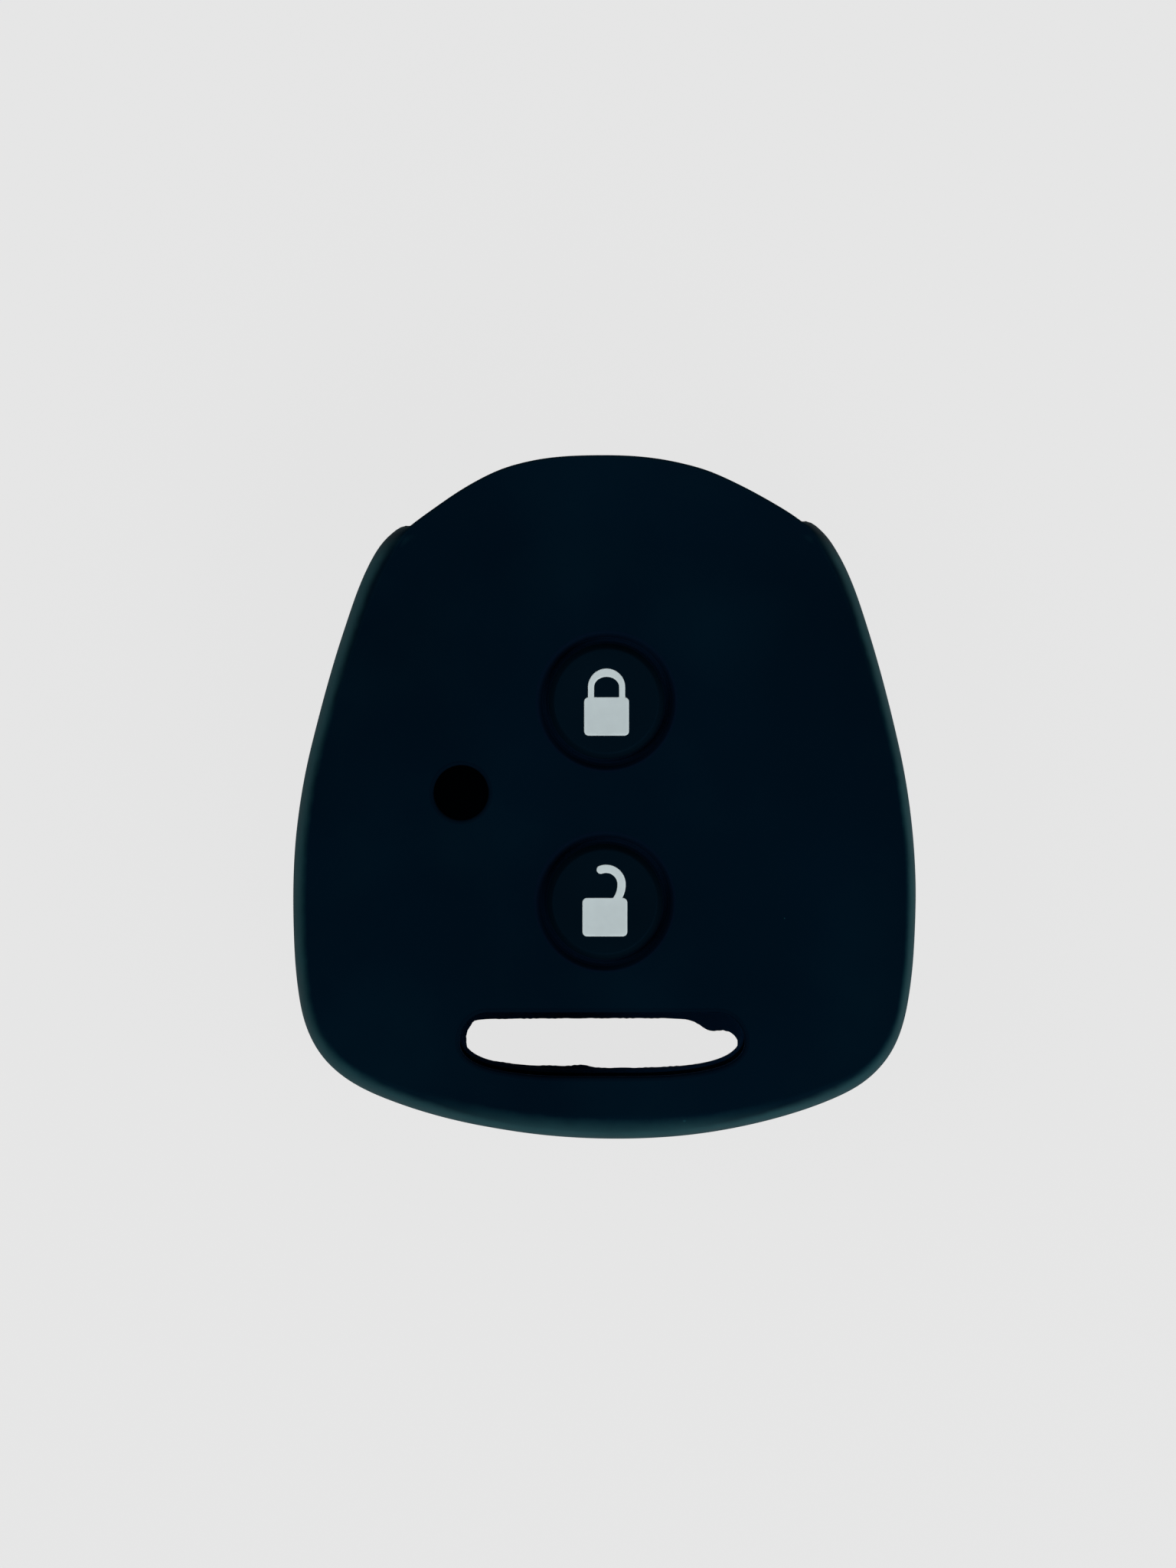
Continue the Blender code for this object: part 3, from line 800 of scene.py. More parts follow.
def sleeve_skin(s, o, p):
    """All the patches of the sleeve, and its outline seen from above."""
    c, left = sleeve_columns(s), sleeve_columns(s, s.left_rim)
    levels = belt_levels(s, c.low)
    crown = crown_rows(s, c)
    belt = belt_rows(s, c, levels)
    cavity = cavity_rows(s, c, levels)
    skin = Skin()
    front_crown = both_sides(crown, crown_rows(s, left))
    back_crown = turned_over(s, front_crown)
    mouth = both_sides(mouth_rows(s, c, crown[-1], belt[:, -1], cavity[:, -1], levels))
    skin.grid(front_crown)
    skin.grid(back_crown)
    skin.grid(across(belt, belt_rows(s, left, levels)), closed=False)
    skin.grid(across(cavity), closed=False)
    skin.grid(mouth)

    # The holes through the front
    slot = slot_ring(s, o)
    slot_rows = hole_edge(*slot, s.depth, s.inside, o.slot_edge, hidden_edge)
    window = round_ring(o.window_diameter / 2, window_count,
                        (-o.window_offset, o.window_setback - s.length / 2))
    window_rows = hole_edge(*window, s.depth, s.inside, s.edge_radius, hidden_edge)
    grooves = [groove_lip(s, p, centre) for centre in pad_centres(p).values()]
    holes = [slot_rows, window_rows, *grooves]
    skin.grid(slot_rows[:edge_rows], finish=edge_finish)
    # The slot's wall gets the lighter wall colour, which paints light into its shade.
    skin.grid(slot_rows[edge_rows - 1:], finish=wall_finish)
    skin.grid(window_rows, finish=edge_finish)
    for rows in grooves:
        skin.grid(rows, finish=groove_finish)

    # The flat faces, and the slot through the back
    skin.fill(front_crown[0], [rows[0] for rows in holes])
    mouth_line = np.concatenate([cavity[1:2, -1], c.under_lip])
    under_front = np.concatenate([across(cavity[0]), mouth_line, mirrored(mouth_line[-2::-1])])
    skin.fill(under_front, [rows[-1] for rows in holes])
    back_slot = flash_rows(s, o, *slot)
    # The flash and the back slot's wall get the flash colour, which paints light into their shade.
    skin.grid(back_slot[:-3], finish=flash_finish)
    skin.grid(back_slot[-4:])
    skin.fill(turned_over(s, under_front), [back_slot[0]])
    skin.fill(back_crown[0], [back_slot[-1]])
    outline = both_sides(c.points)
    for points in skin.points:
        points[:, :2] = settled(points[:, :2], outline, s.unevenness)
    return skin, settled(outline, outline, s.unevenness)


def settled(flat, outline, most):
    """Flat points moved in or out along the lines from the middle, as the real outline is.

    The shift is most * share(angle) * (3t^2 - 2t^3), where t grows from 0 at four fifths of the
    way to the outline to 1 at the outline, so that the openings stay where they are.
    """
    angle = np.degrees(np.arctan2(flat[:, 1], flat[:, 0])) % 360
    distance = np.linalg.norm(flat, axis=1)
    round_it = np.degrees(np.arctan2(outline[:, 1], outline[:, 0])) % 360
    reach = np.interp(angle, round_it, np.linalg.norm(outline, axis=1), period=360)
    places, shares = np.array(uneven_shares).T
    fine = np.interp(np.arange(-4, 364), places, shares, period=360)
    soft = np.convolve(fine, np.full(5, 0.2), 'same')[4:]
    share = np.interp(angle, np.arange(364), soft)
    shift = most * share * smooth(distance / reach, 0.8, 1.0)
    return flat * (1 + shift / np.maximum(distance, 1e-6))[:, None]


def pad_centres(p):
    """Where the lock pad and the unlock pad stand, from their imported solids."""
    return {name: ((low.x + high.x) / 2 + shift, (low.y + high.y) / 2)
            for name, low, high, shift in (("lock", lock_low, lock_high, p.lock_shift),
                                           ("unlock", unlock_low, unlock_high, p.unlock_shift))}


# Pads, webs and signs

def groove_height(s, p, radius):
    """Height of the groove at a distance from its pad's axis.

    From the middle of the groove's floor, half a cosine wave rises to the face on one side, and on
    the other side to the pad's rim, where its share v of the way up becomes 1 - (1 - v)^bend, so
    that the pad rounds off slowly.
    """
    outer = (radius - p.groove) / (p.lip - p.groove)
    inner = (p.groove - radius) / (p.groove - p.shoulder)
    face = s.depth - (s.depth - p.groove_floor) * (1 + np.cos(math.pi * np.clip(outer, 0, 1))) / 2
    down = ((1 + np.cos(math.pi * np.clip(inner, 0, 1))) / 2) ** p.bend
    return np.where(radius > p.groove, face, p.top - (p.top - p.groove_floor) * down)


def dished(p, radius):
    """How far a pad's top lies below its rim: depth * (1 - (r / R)^2)^2 within the radius R."""
    return p.dish * (1 - np.minimum(radius / p.dish_radius, 1) ** 2) ** 2


def paired(radius, height):
    """A profile from its radii and heights, one of which may be a single number."""
    return np.stack(np.broadcast_arrays(radius, height), axis=1)


def groove_lip(s, p, centre):
    """The sleeve's edge round a pad: the groove's outer slope, and the hole that the skin fills."""
    slope = np.linspace(p.lip, p.skin_outside, 15)
    foot = groove_height(s, p, slope[-1])
    profile = np.concatenate([
        [[p.lip + flat_margin, s.depth]], paired(slope, groove_height(s, p, slope)),
        paired(p.skin_outside, [(foot + s.inside) / 2, s.inside]),
        [[p.skin_outside + 2 * flat_margin, s.inside]]])
    return lathe(profile, centre)


def pad_profile(s, p):
    """A press pad from the middle of its nub round to the middle of its top, radius and height."""
    inside, soft = s.inside, hidden_pad_edge
    radius, boss = p.skin_inside, p.boss_diameter / 2
    width, fall = quarter(5)
    slope = np.linspace(radius, p.shoulder, 20)
    top = np.concatenate([[(p.shoulder + p.dish_radius) / 2], np.linspace(p.dish_radius, 0, 16)])
    return np.concatenate([
        paired([0.0, boss / 2, boss - 2 * soft], p.bottom),
        paired(boss - soft * width, p.bottom + soft * fall),
        paired(boss + soft * (1 - width[::-1]), inside - soft * fall[::-1]),
        paired([boss + 2 * soft, radius - 2 * soft], inside),
        paired(radius - soft * width, inside + soft * fall),
        paired(radius, np.linspace(inside + soft, groove_height(s, p, radius), 5)[1:-1]),
        paired(slope, groove_height(s, p, slope)),
        paired(top, p.top - dished(p, top))])


def web_profile(s, p):
    """The skin at the bottom of a groove: flat below, and the groove's own curve above."""
    curve = np.linspace(p.skin_outside, p.skin_inside, 17)
    height = groove_height(s, p, curve)
    under = np.linspace(p.skin_inside - p.overlap, p.skin_outside + p.overlap, 14)
    return np.concatenate([
        paired(under, s.inside),
        paired(under[-1], [(s.inside + height[0]) / 2, height[0] - p.overlap]),
        paired(curve, height),
        paired(under[0], [height[-1] - p.overlap, (s.inside + height[-1]) / 2])])


def arch(centre, wide, high, first, last, steps):
    """Points of an ellipse with half axes wide and high, from one angle in degrees to another."""
    return np.asarray(centre) + unit(np.linspace(first, last, steps + 1)) * (wide, high)


def body_corners(g):
    """The padlock's body in four rounded corners, anticlockwise from the lower right."""
    half = np.array([g.body_width / 2, g.body_height / 2]) - g.body_corner
    middle = np.array([0.0, g.body_top - g.body_height / 2])
    return [arch(middle + half * signs, g.body_corner, g.body_corner, first, first + 90, 6)
            for signs, first in (((1, -1), -90), ((1, 1), 0), ((-1, 1), 90), ((-1, -1), 180))]


def closed_padlock(g):
    """The outline of a closed padlock, and the hole inside its shackle."""
    lower_right, upper_right, upper_left, lower_left = body_corners(g)
    half = g.shackle_width / 2
    shoulder = g.body_top + g.shackle_rise - half
    outside = np.vstack([[[half, g.body_top]], arch((0, shoulder), half, half, 0, 180, 28),
                         [[-half, g.body_top]]])
    inner = half - g.shackle_leg
    hole = np.vstack([
        [[inner, g.body_top]],
        arch((0, shoulder), inner, half - g.shackle_crown, 0, 180, 24),
        [[-inner, g.body_top]]])
    return np.vstack([lower_right, upper_right, outside, upper_left, lower_left]), [hole]


def open_padlock(g):
    """The outline of an open padlock, whose shackle is a hook on its right with a round end."""
    lower_right, upper_right, upper_left, lower_left = body_corners(g)
    centre = np.array([g.hook_shift, g.body_top + g.hook_rise])
    half = g.hook_stroke / 2
    large, small = g.hook_radius + half, g.hook_radius - half
    end = math.degrees(g.hook_end)
    foot_out = -math.degrees(math.asin(g.hook_rise / g.hook_heel))
    foot_in = -math.degrees(math.asin(g.hook_rise / g.hook_foot))
    tip = centre + g.hook_radius * unit(end)
    hook = np.vstack([
        arch(centre, large, g.hook_heel, foot_out, 0, 8)[:-1],
        arch(centre, large, large, 0, end, 24),
        arch(tip, half, half, end, end + 180, 10)[1:-1],
        arch(centre, small, small, end, 0, 20),
        arch(centre, small, g.hook_foot, 0, foot_in, 8)[1:]])
    return np.vstack([lower_right, upper_right, hook, upper_left, lower_left]), []


def inset(ring, distance):
    """A flat ring moved inwards by a distance, along the line that halves each corner."""
    side = beside(np.roll(ring, -1, axis=0) - ring)
    mean = side + np.roll(side, 1, axis=0)
    mean /= np.linalg.norm(mean, axis=1, keepdims=True)
    stretch = np.maximum((mean * side).sum(1, keepdims=True), 0.5)
    return ring - distance * mean / stretch


def sign_skin(outline, holes, g, p, centre):
    """A printed sign: flat below, upright sides and a rounded upper edge, on the dished pad."""
    skin = Skin()
    width, fall = quarter(4)
    tops, feet = [], []
    for ring, way in [(outline, 1), *((hole, -1) for hole in holes)]:
        ring = divided(ring, sign_spacing)
        rows = [raised(ring, g.low)]
        rows += [raised(inset(ring, way * g.edge * w), g.high - g.edge * f)
                 for w, f in zip(width[::-1], fall[::-1])]
        rows = np.stack(rows)
        skin.grid(rows)
        feet.append(rows[0])
        tops.append(rows[-1])
    skin.fill(feet[0], feet[1:])
    skin.fill(tops[0], tops[1:], lattice(tops, sign_spacing))
    for points in skin.points:
        points[:, 2] -= dished(p, np.linalg.norm(points[:, :2], axis=1))
        points += (*centre, 0)
    return skin


def divided(ring, longest):
    """A ring with its long edges cut into equal steps."""
    step = np.roll(ring, -1, axis=0) - ring
    parts = np.ceil(np.linalg.norm(step, axis=1) / longest).astype(int)
    start = np.repeat(np.arange(len(ring)), parts)
    place = np.arange(len(start)) - np.repeat(np.cumsum(parts) - parts, parts)
    return ring[start] + step[start] * (place / parts[start])[:, None]


def lattice(rings, spacing):
    """Points of a square lattice inside the first ring, outside the others and clear of all."""
    low, high = rings[0].min(0), rings[0].max(0)
    lines = [np.arange(low[axis] + spacing / 2, high[axis], spacing) for axis in (0, 1)]
    points = np.stack(np.meshgrid(*lines), axis=-1).reshape(-1, 2)
    keep = within(points, rings[0])
    for ring in rings[1:]:
        keep &= ~within(points, ring)
    edge = np.concatenate(rings)[:, :2]
    near = np.linalg.norm(points[:, None] - edge, axis=2).min(1)
    return raised(points[keep & (near > spacing * 0.6)], low[2])


# Materials

def wire(tree, socket, value):
    """Set an input, or link it where the value is a socket."""
    if isinstance(value, bpy.types.NodeSocket):
        tree.links.new(value, socket)
    else:
        socket.default_value = value


def node(tree, kind, **inputs):
    """A new shader node, with its named inputs set to values or linked to other sockets."""
    made = tree.nodes.new(kind)
    for name, value in inputs.items():
        wire(tree, made.inputs[name.replace("_", " ")], value)
    return made


def in_order(tree, made, *values):
    """Set or link the inputs that a node uses, in their order, and give its result socket."""
    used = [socket for socket in made.inputs if socket.enabled]
    for socket, value in zip(used, values):
        wire(tree, socket, value)
    return next(socket for socket in made.outputs if socket.enabled)


def maths(tree, operation, *values):
    """The result socket of a Math node."""
    made = tree.nodes.new("ShaderNodeMath")
    made.operation = operation
    return in_order(tree, made, *values)


def product(tree, value, *others):
    """The result socket of values multiplied."""
    for other in others:
        value = maths(tree, 'MULTIPLY', value, other)
    return value


def mixed(tree, factor, first, second):
    """The result socket of a colour mix."""
    made = tree.nodes.new("ShaderNodeMix")
    made.data_type = 'RGBA'
    return in_order(tree, made, factor, first, second)


def mapped(tree, value, low, high, to_low, to_high):
    """A value taken from one range to another, held at its ends."""
    made = tree.nodes.new("ShaderNodeMapRange")
    return in_order(tree, made, value, low, high, to_low, to_high)


def noise(tree, place, scale, detail):
    """The value of a noise texture at a place."""
    made = node(tree, "ShaderNodeTexNoise", Vector=place, Scale=scale, Detail=detail)
    return made.outputs["Fac"]


def patches(tree, place, scale, detail, least, most, low=0.3, high=0.7):
    """A noise between low and high, spread from least to most."""
    return mapped(tree, noise(tree, place, scale, detail), low, high, least, most)


def object_place(tree):
    """The place on the object, in metres."""
    return node(tree, "ShaderNodeTexCoord").outputs["Object"]


def marked(tree, name):
    """One of the piece's own attributes."""
    made = tree.nodes.new("ShaderNodeAttribute")
    made.attribute_name = name
    return made.outputs["Fac"]


def group(name, inputs, outputs):
    """An empty shader group with named number inputs and outputs, and its two end nodes."""
    made = bpy.data.node_groups.new(name, 'ShaderNodeTree')
    for label, default in inputs:
        made.interface.new_socket(label, in_out='INPUT', socket_type='NodeSocketFloat') \
            .default_value = default
    for label in outputs:
        made.interface.new_socket(label, in_out='OUTPUT', socket_type='NodeSocketFloat')
    return made, made.nodes.new("NodeGroupInput").outputs, made.nodes.new("NodeGroupOutput").inputs


def grain_group():
    """Moulded grain: the height in metres of a fine spark-eroded grain over a slow waviness."""
    tree, given, result = group(
        "Moulded grain",
        [("Grain per metre", 7000.0), ("Grain height", 1e-6), ("Wave per metre", 160.0),
         ("Wave height", 1e-6)], ["Height"])
    place = object_place(tree)
    grain, wave = (
        product(tree, noise(tree, place, given[kind + " per metre"], detail),
                given[kind + " height"]) for kind, detail in (("Grain", 3.0), ("Wave", 1.0)))
    wire(tree, result["Height"], maths(tree, 'ADD', grain, wave))
    return tree


def dust_group():
    """Settled dust: small specks in a few cells of a Voronoi pattern, and a thin cloudy film."""
    tree, given, result = group(
        "Settled dust",
        [("Cells per metre", 700.0), ("Share of cells", 0.05), ("Speck radius", 0.08),
         ("Film", 0.1)], ["Specks", "Film"])
    place = object_place(tree)
    cells = node(tree, "ShaderNodeTexVoronoi", Vector=place, Scale=given["Cells per metre"])
    kind = node(tree, "ShaderNodeSeparateColor", Color=cells.outputs["Color"]).outputs
    chosen = maths(tree, 'LESS_THAN', kind["Red"], given["Share of cells"])
    radius = product(tree, given["Speck radius"], maths(tree, 'ADD', 0.4, kind["Green"]))
    near = mapped(tree, maths(tree, 'DIVIDE', cells.outputs["Distance"], radius),
                  0.7, 1.2, 1.0, 0.0)
    wire(tree, result["Specks"], product(tree, chosen, near))
    cloud = patches(tree, place, 95.0, 4.0, 0.0, 1.0, low=0.45, high=0.75)
    wire(tree, result["Film"], product(tree, cloud, given["Film"]))
    return tree


def rub_group():
    """Rubbed edges: the piece's own "rub" attribute, broken up by noise."""
    tree, given, result = group("Rubbed edges", [("Amount", 0.5)], ["Rub"])
    broken = patches(tree, object_place(tree), 420.0, 3.0, 0.25, 1.0, low=0.35)
    wire(tree, result["Rub"], product(tree, marked(tree, "rub"), broken, given["Amount"]))
    return tree


def painted_rim_highlight_group():
    """The rim's painted highlight: a pale band on the rolled edges, standing in for the light and
    reflection that they catch at grazing angles.

    It is full within one distance from the outline and gone beyond another, both from the "rim"
    attribute. It is wider on the left than on the right and widest at the bottom corners, as the
    light falls there. In the middle of the bottom it has a long faint tail. It is thinner half way
    down the flanks, and ends at the shoulders.
    """
    # Each pair is where a change starts and where it is complete.
    bottom = (-0.0192, -0.0160)      # along Y: the bottom's highlight passes into the flanks'
    corner = (0.0100, 0.0170)        # from the middle along X: the highlight grows wider
    tail_side = (0.0060, 0.0130)     # from the middle along X: the tail dies away
    tail_width = (0.0003, 0.0016)    # from the outline: the tail dies away
    flank = (0.0028, 0.0056)         # from mid depth: the highlight grows from thin to full
    shoulder = (-0.0008, 0.0010)     # past the shoulder's Y: the highlight ends
    tree, given, result = group(
        "Painted rim highlight", [("Full within", 0.00042), ("Gone beyond", 0.00102), ("Side", 0.0225),
                     ("Middle height", 0.0075), ("Shoulder", 0.0179)], ["Film"])
    place = object_place(tree)
    parts = node(tree, "ShaderNodeSeparateXYZ", Vector=place).outputs
    side = mapped(tree, maths(tree, 'DIVIDE', parts["X"], given["Side"]), -1.0, 1.0, 0.88, 1.12)
    ragged = patches(tree, place, 900.0, 3.0, 0.95, 1.05)
    low = mapped(tree, parts["Y"], *bottom, 1.0, 0.0)
    aside = maths(tree, 'ABSOLUTE', parts["X"])
    broad = maths(tree, 'SUBTRACT', 1.0,
                  product(tree, low, mapped(tree, aside, *corner, 0.02, 0.16)))
    away = product(tree, marked(tree, "rim"), broad, side, ragged)
    near = mapped(tree, away, given["Full within"], given["Gone beyond"], 1.0, 0.0)
    near.node.interpolation_type = 'SMOOTHSTEP'
    tail = product(tree, mapped(tree, away, *tail_width, 0.95, 0.0),
                   mapped(tree, aside, *tail_side, 1.0, 0.0), low)
    up = maths(tree, 'ABSOLUTE', maths(tree, 'SUBTRACT', parts["Z"], given["Middle height"]))
    beyond = maths(tree, 'SUBTRACT', parts["Y"], given["Shoulder"])
    # film: the strength of the painted rim highlight at each point.
    film = product(tree, maths(tree, 'MAXIMUM', near, tail), mapped(tree, up, *flank, 0.42, 1.0),
                   mapped(tree, beyond, *shoulder, 1.0, 0.0),
                   patches(tree, place, 260.0, 3.0, 0.8, 1.1))
    wire(tree, result["Film"], maths(tree, 'MINIMUM', film, 1.0))
    return tree


group_makers = {"Moulded grain": grain_group, "Settled dust": dust_group,
                "Rubbed edges": rub_group, "Painted rim highlight": painted_rim_highlight_group}


def placed_group(tree, name, **inputs):
    """The outputs of a group node with its own values. The group is made at its first use."""
    made = tree.nodes.new("ShaderNodeGroup")
    made.node_tree = bpy.data.node_groups.get(name) or group_makers[name]()
    for label, value in inputs.items():
        made.inputs[label.replace("_", " ")].default_value = value
    return made.outputs


def principled(name, finish):
    """A material with its Principled shader, whose plain values are set on its own sockets."""
    made = bpy.data.materials.new(name)
    made.use_nodes = True
    shader = made.node_tree.nodes["Principled BSDF"]
    for label, value in finish.items():
        shader.inputs[label].default_value = value
    return made, made.node_tree, shader


# What a speck of dust changes in silicone, and how much rougher its recesses are.
speck_cover, speck_roughness = 0.7, 0.3
recess_roughness = 0.15


def surfaced(tree, shader, colour, roughness, height):
    """Link a shader's colour and roughness, and bump it by a height in metres."""
    bump = node(tree, "ShaderNodeBump", Strength=1.0, Distance=1.0, Height=height)
    for label, value in (("Base Color", colour), ("Roughness", roughness),
                         ("Normal", bump.outputs["Normal"])):
        tree.links.new(value, shader.inputs[label])


def silicone(name, finish, base, roughness, grain_height=2.2e-6, specks=0.018, bloom=0.0,
             shine=0.03, worn_share=0.0, with_rim_highlight=False):
    """Matt moulded silicone: grain, a slow waviness, faint dust and lightly rubbed edges.

    One with the rim highlight also has a pale band painted on the rolled rim, standing in for the
    light that the rim catches.
    """
    made, tree, shader = principled(name, {
        "IOR": 1.43, "Specular IOR Level": shine, "Specular Tint": (*finish.cast, 1.0),
        "Sheen Weight": bloom, "Sheen Roughness": 0.5, "Sheen Tint": (*finish.bloom, 1.0)})
    grain = placed_group(tree, "Moulded grain", Grain_height=grain_height, Wave_height=6e-6)
    dust = placed_group(tree, "Settled dust", Share_of_cells=specks, Film=0.035)
    rub = placed_group(tree, "Rubbed edges", Amount=worn_share)
    place = object_place(tree)
    body = node(tree, "ShaderNodeVectorMath")
    body.operation = 'SCALE'
    in_order(tree, body, base, patches(tree, place, 55.0, 2.0, 0.85, 1.15))
    soiled = maths(tree, 'ADD', product(tree, dust["Specks"], speck_cover),
                   maths(tree, 'ADD', dust["Film"], rub["Rub"]))
    skin = mixed(tree, maths(tree, 'MINIMUM', soiled, 1.0), body.outputs[0], (*finish.dust, 1.0))
    if with_rim_highlight:
        # Painted highlight on the rolled rim, mixed over the silicone's colour.
        skin = mixed(tree, placed_group(tree, "Painted rim highlight")["Film"], skin, (*finish.rim_highlight, 1.0))
    worn = patches(tree, place, 210.0, 3.0, roughness - 0.04, roughness + 0.05)
    dusty = maths(tree, 'ADD', worn, product(tree, dust["Specks"], speck_roughness))
    surfaced(tree, shader, skin, dusty, grain["Height"])
    return made


def sign_print(finish):
    """Pale print: a faint mottle, a fine grain and rubbed edges that are a little paler, partly
    wear and partly a painted highlight where the raised edges catch the light.
    """
    made, tree, shader = principled("padlock print", {"IOR": 1.45})
    grain = placed_group(tree, "Moulded grain", Grain_height=1.2e-6, Grain_per_metre=9000.0,
                         Wave_height=2e-6, Wave_per_metre=900.0)
    rub = placed_group(tree, "Rubbed edges", Amount=0.6)
    place = object_place(tree)
    plain = np.array(finish.print)
    mottle = patches(tree, place, 1500.0, 4.0, 0.0, 0.16, low=0.35)
    tone = mixed(tree, mottle, (*plain, 1.0), (*(plain * 0.78), 1.0))
    # Paler edges: wear, and partly a painted highlight on the print's raised edges.
    edge = mixed(tree, rub["Rub"], tone, (*np.minimum(plain * 1.12, 1), 1.0))
    rough = finish.print_roughness
    worn = patches(tree, place, 700.0, 3.0, rough - 0.06, rough + 0.08)
    surfaced(tree, shader, edge, worn, grain["Height"])
    return made


def recess(name, finish, **more):
    """The silicone of a hole's edge or a web, by the name of its colour: rougher and unrubbed. The
    wall, flash and web colours are lighter than the body: painted light in their shade.
    """
    return silicone(name + " silicone", finish, getattr(finish, name),
                    finish.sleeve_roughness + recess_roughness, **more)


def finished(made, materials, slot, *nodes):
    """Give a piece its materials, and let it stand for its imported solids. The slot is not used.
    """
    for material in materials:
        made.data.materials.append(material)
    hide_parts(*nodes)


# Operators

class COVER_OT_sleeve(Operator):
    """Make the moulded sleeve with its rim, mouth, slot and window"""
    bl_idname = "cover.sleeve"
    bl_label = "Sleeve"

    def execute(self, context):
        scene = context.scene
        skin, outline = sleeve_skin(scene.cover_sleeve, scene.cover_openings, scene.cover_pads)
        made = skin.made("sleeve_moulding")
        mark_rim(made.data, outline)
        finish = scene.cover_finish
        # The sleeve carries the painted rim highlight.
        materials = [silicone("sleeve silicone", finish, finish.silicone, finish.sleeve_roughness,
                              bloom=0.02, worn_share=0.06, with_rim_highlight=True)]
        # The wall and flash colours paint light into the shade of the slot.
        materials += [recess(name, finish) for name in ("edge", "wall", "flash", "groove")]
        finished(made, materials, "sleeve_silicone", "sleeve")
        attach(made, "sleeve")
        return {'FINISHED'}


class COVER_OT_pads(Operator):
    """Make the two press pads"""
    bl_idname = "cover.pads"
    bl_label = "Press pads"

    def execute(self, context):
        scene = context.scene
        finish = scene.cover_finish
        material = silicone("pad silicone", finish, finish.pad, finish.pad_roughness,
                            grain_height=1.5e-6, specks=0.07, shine=0.04)
        profile = pad_profile(scene.cover_sleeve, scene.cover_pads)
        for name, centre in pad_centres(scene.cover_pads).items():
            made = turned(name + "_pad_moulding", profile, centre)
            finished(made, [material], "pad_silicone", name + "_pad")
            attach(made, name + "_pad")
        return {'FINISHED'}


class COVER_OT_webs(Operator):
    """Make the thin skins that the pads hang on, which bend as a pad is pressed"""
    bl_idname = "cover.webs"
    bl_label = "Webs"

    def execute(self, context):
        scene = context.scene
        p = scene.cover_pads
        # The webs get the lighter web colour, painted light for the shaded groove floor.
        material = recess("web", scene.cover_finish, specks=0.01)
        profile = web_profile(scene.cover_sleeve, p)
        for name, centre in pad_centres(p).items():
            made = turned(name + "_web_moulding", profile, centre)
            finished(made, [material], "web_silicone", name + "_pad_web")
            bend_round(made, centre)
        return {'FINISHED'}


def bend_round(web, centre):
    """Bake a web's placement into its mesh, and find each point's distance to its pad's axis.

    Nothing is written from that distance, so the web doesn't bend.
    """
    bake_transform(web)
    radius = np.linalg.norm(table(web.data.vertices, "co", 3)[:, :2] - centre, axis=1)


class COVER_OT_signs(Operator):
    """Make the closed and the open padlock printed on the pads"""
    bl_idname = "cover.signs"
    bl_label = "Padlock signs"

    def execute(self, context):
        scene = context.scene
        g, p = scene.cover_signs, scene.cover_pads
        material = sign_print(scene.cover_finish)
        shapes = {"lock": closed_padlock(g), "unlock": open_padlock(g)}
        for name, centre in pad_centres(p).items():
            made = sign_skin(*shapes[name], g, p, centre).made(name + "_sign_print")
            finished(made, [material], "sign_print", name + "_icon")
            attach(made, name + "_pad")
        return {'FINISHED'}


# The lamps: turn in degrees from +X towards +Y, the name of the elevation, and watts.
lamps = {"left lamp": (180, "fill_height", 1.4), "right lamp": (340, "key_height", 1.45),
         "lower lamp": (290, "key_height", 1.9), "upper lamp": (90, "fill_height", 0.3)}
lens, sensor = 160.75, 36.0     # of the camera, in millimetres
camera_near = 0.01              # nearest distance that the camera sees
floor_glow = 1.075              # strength at which the floor's plain colour comes out right
floor_plain = 0.92              # how far the floor shows its plain colour when looked at
floor_mirrored = 0.1            # and in what mirrors it, so that the cover's shadow stays there
dim_light, dim_strength = (0.9, 0.96, 1.0, 1.0), 0.12   # of the backdrop where it isn't seen


class COVER_OT_stage(Operator):
    """Make the floor, the backdrop, the soft lamps and the camera"""
    bl_idname = "cover.stage"
    bl_label = "Stage"

    def execute(self, context):
        scene = context.scene
        t, tone = scene.cover_stage, (*scene.cover_finish.floor, 1.0)
        half = t.floor_side / 2
        corners = [(-half, -half, 0), (half, -half, 0), (half, half, 0), (-half, half, 0)]
        mesh = bpy.data.meshes.new("floor")
        mesh.from_pydata(corners, [], [(0, 1, 2, 3)])
        floor = added("floor", mesh)
        mesh.materials.append(floor_material(tone, scene.cover_finish.bounce))
        scene.world = backdrop(tone)
        for name, (turn, height, watts) in lamps.items():
            soft_lamp(name, turn, getattr(t, height), watts, t)
        data = bpy.data.cameras.new("camera")
        data.lens, data.sensor_width, data.clip_start = lens, sensor, camera_near
        camera = added("camera", data)
        camera.location = (t.camera_x, t.camera_y, t.camera_height)
        scene.camera = camera
        scene.view_settings.view_transform = 'Standard'
        return {'FINISHED'}


def seen_plainly(tree):
    """How far the floor shows its plain colour, by what looks at it."""
    path = node(tree, "ShaderNodeLightPath").outputs
    seen = maths(tree, 'MAXIMUM', path["Is Camera Ray"], path["Is Transmission Ray"])
    return maths(tree, 'MAXIMUM', product(tree, seen, floor_plain),
                 product(tree, path["Is Glossy Ray"], floor_mirrored))


def blended(tree, share, first, second, output):
    """Show the first shader where the share is 0, and the second where it is 1."""
    blend = in_order(tree, tree.nodes.new("ShaderNodeMixShader"), share, first.outputs[0],
                     second.outputs[0])
    tree.links.new(blend, tree.nodes[output].inputs["Surface"])


def floor_material(tone, bounce):
    """A plain pale floor: mostly its own colour as seen, with some of the cover's shadow kept."""
    dim = (*(channel * bounce for channel in tone[:3]), 1.0)
    made, tree, shader = principled("pale floor", {"Base Color": dim, "Roughness": 0.9,
                                                   "Specular IOR Level": 0.0})
    plain = node(tree, "ShaderNodeEmission", Color=tone, Strength=floor_glow)
    blended(tree, seen_plainly(tree), shader, plain, "Material Output")
    return made


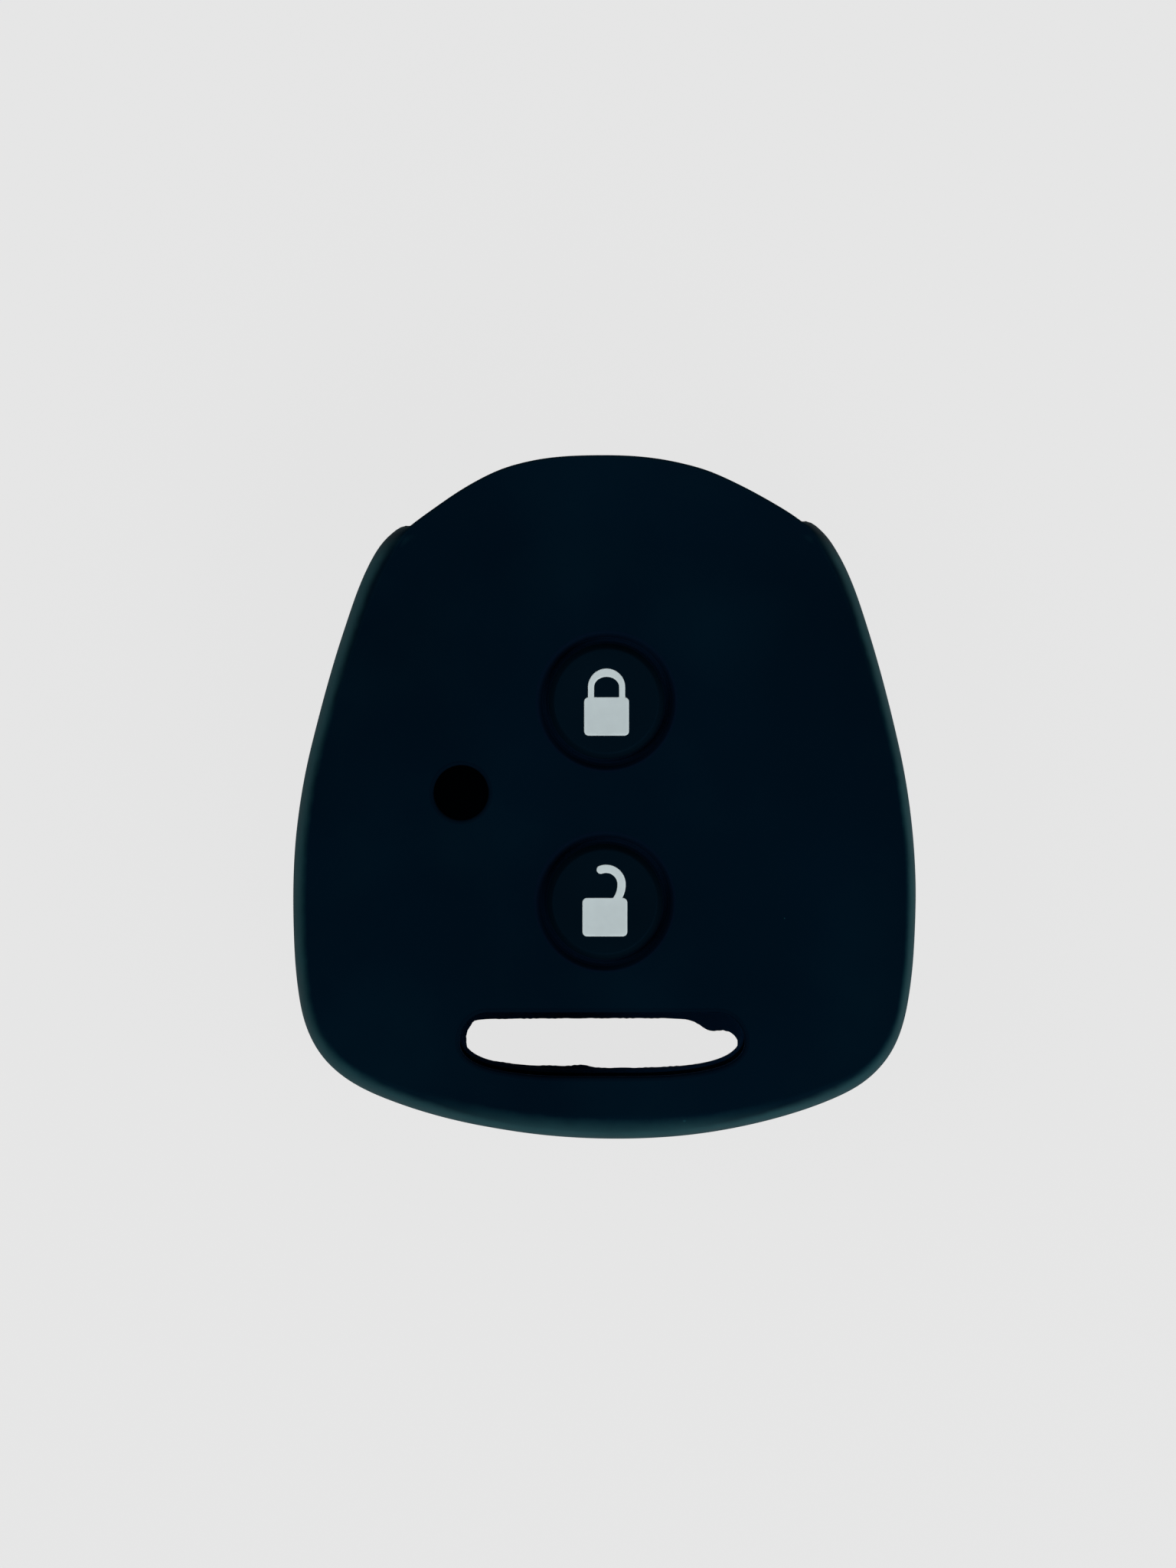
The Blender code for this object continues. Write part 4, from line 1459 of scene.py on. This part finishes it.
def backdrop(tone):
    """The world: the floor's colour where it is seen, and a dim even light elsewhere."""
    made = bpy.data.worlds.new("backdrop")
    made.use_nodes = True
    tree = made.node_tree
    shown = tree.nodes["Background"]
    shown.inputs["Color"].default_value = tone
    dim = node(tree, "ShaderNodeBackground", Color=dim_light, Strength=dim_strength)
    looked_at = node(tree, "ShaderNodeLightPath").outputs["Is Camera Ray"]
    blended(tree, looked_at, dim, shown, "World Output")
    return made


def soft_lamp(name, turn, height, watts, t):
    """A square area lamp that looks at the cover from a turn in degrees and a height."""
    data = bpy.data.lights.new(name, 'AREA')
    data.shape, data.size, data.energy = 'SQUARE', t.lamp_side, watts
    way = Vector((*(unit(turn) * math.cos(height)), math.sin(height)))
    made = added(name, data)
    made.location = way * t.lamp_distance
    made.rotation_euler = way.to_track_quat('Z', 'Y').to_euler()


class COVER_PT_panel(Panel):
    """The cover's sizes and what makes each piece"""
    bl_label = "Silicone key fob cover"
    bl_idname = "COVER_PT_panel"
    bl_space_type = 'VIEW_3D'
    bl_region_type = 'UI'
    bl_category = "Key cover"

    def draw(self, context):
        for name, kind in groups.items():
            box = self.layout.box()
            for label in kind.__annotations__:
                box.prop(getattr(context.scene, name), label)
        for operator in operators:
            self.layout.operator(operator.bl_idname)


groups = {"cover_sleeve": SleeveSizes, "cover_openings": OpeningSizes, "cover_pads": PadSizes,
          "cover_signs": SignSizes, "cover_finish": CoverFinish, "cover_stage": StageSizes}
operators = (COVER_OT_sleeve, COVER_OT_pads, COVER_OT_webs, COVER_OT_signs, COVER_OT_stage)
classes = (*groups.values(), *operators, COVER_PT_panel)


def register():
    """Make the properties, the operators and the panel known to Blender."""
    for kind in classes:
        bpy.utils.register_class(kind)
    for name, kind in groups.items():
        setattr(bpy.types.Scene, name, PointerProperty(type=kind))


def unregister():
    """Take them away again, in the opposite order."""
    for name in groups:
        delattr(bpy.types.Scene, name)
    for kind in reversed(classes):
        bpy.utils.unregister_class(kind)


def main():
    """Make every piece and the stage."""
    register()
    for made in (bpy.ops.cover.sleeve, bpy.ops.cover.pads, bpy.ops.cover.webs,
                 bpy.ops.cover.signs, bpy.ops.cover.stage):
        made()


if __name__ == "__main__":
    main()
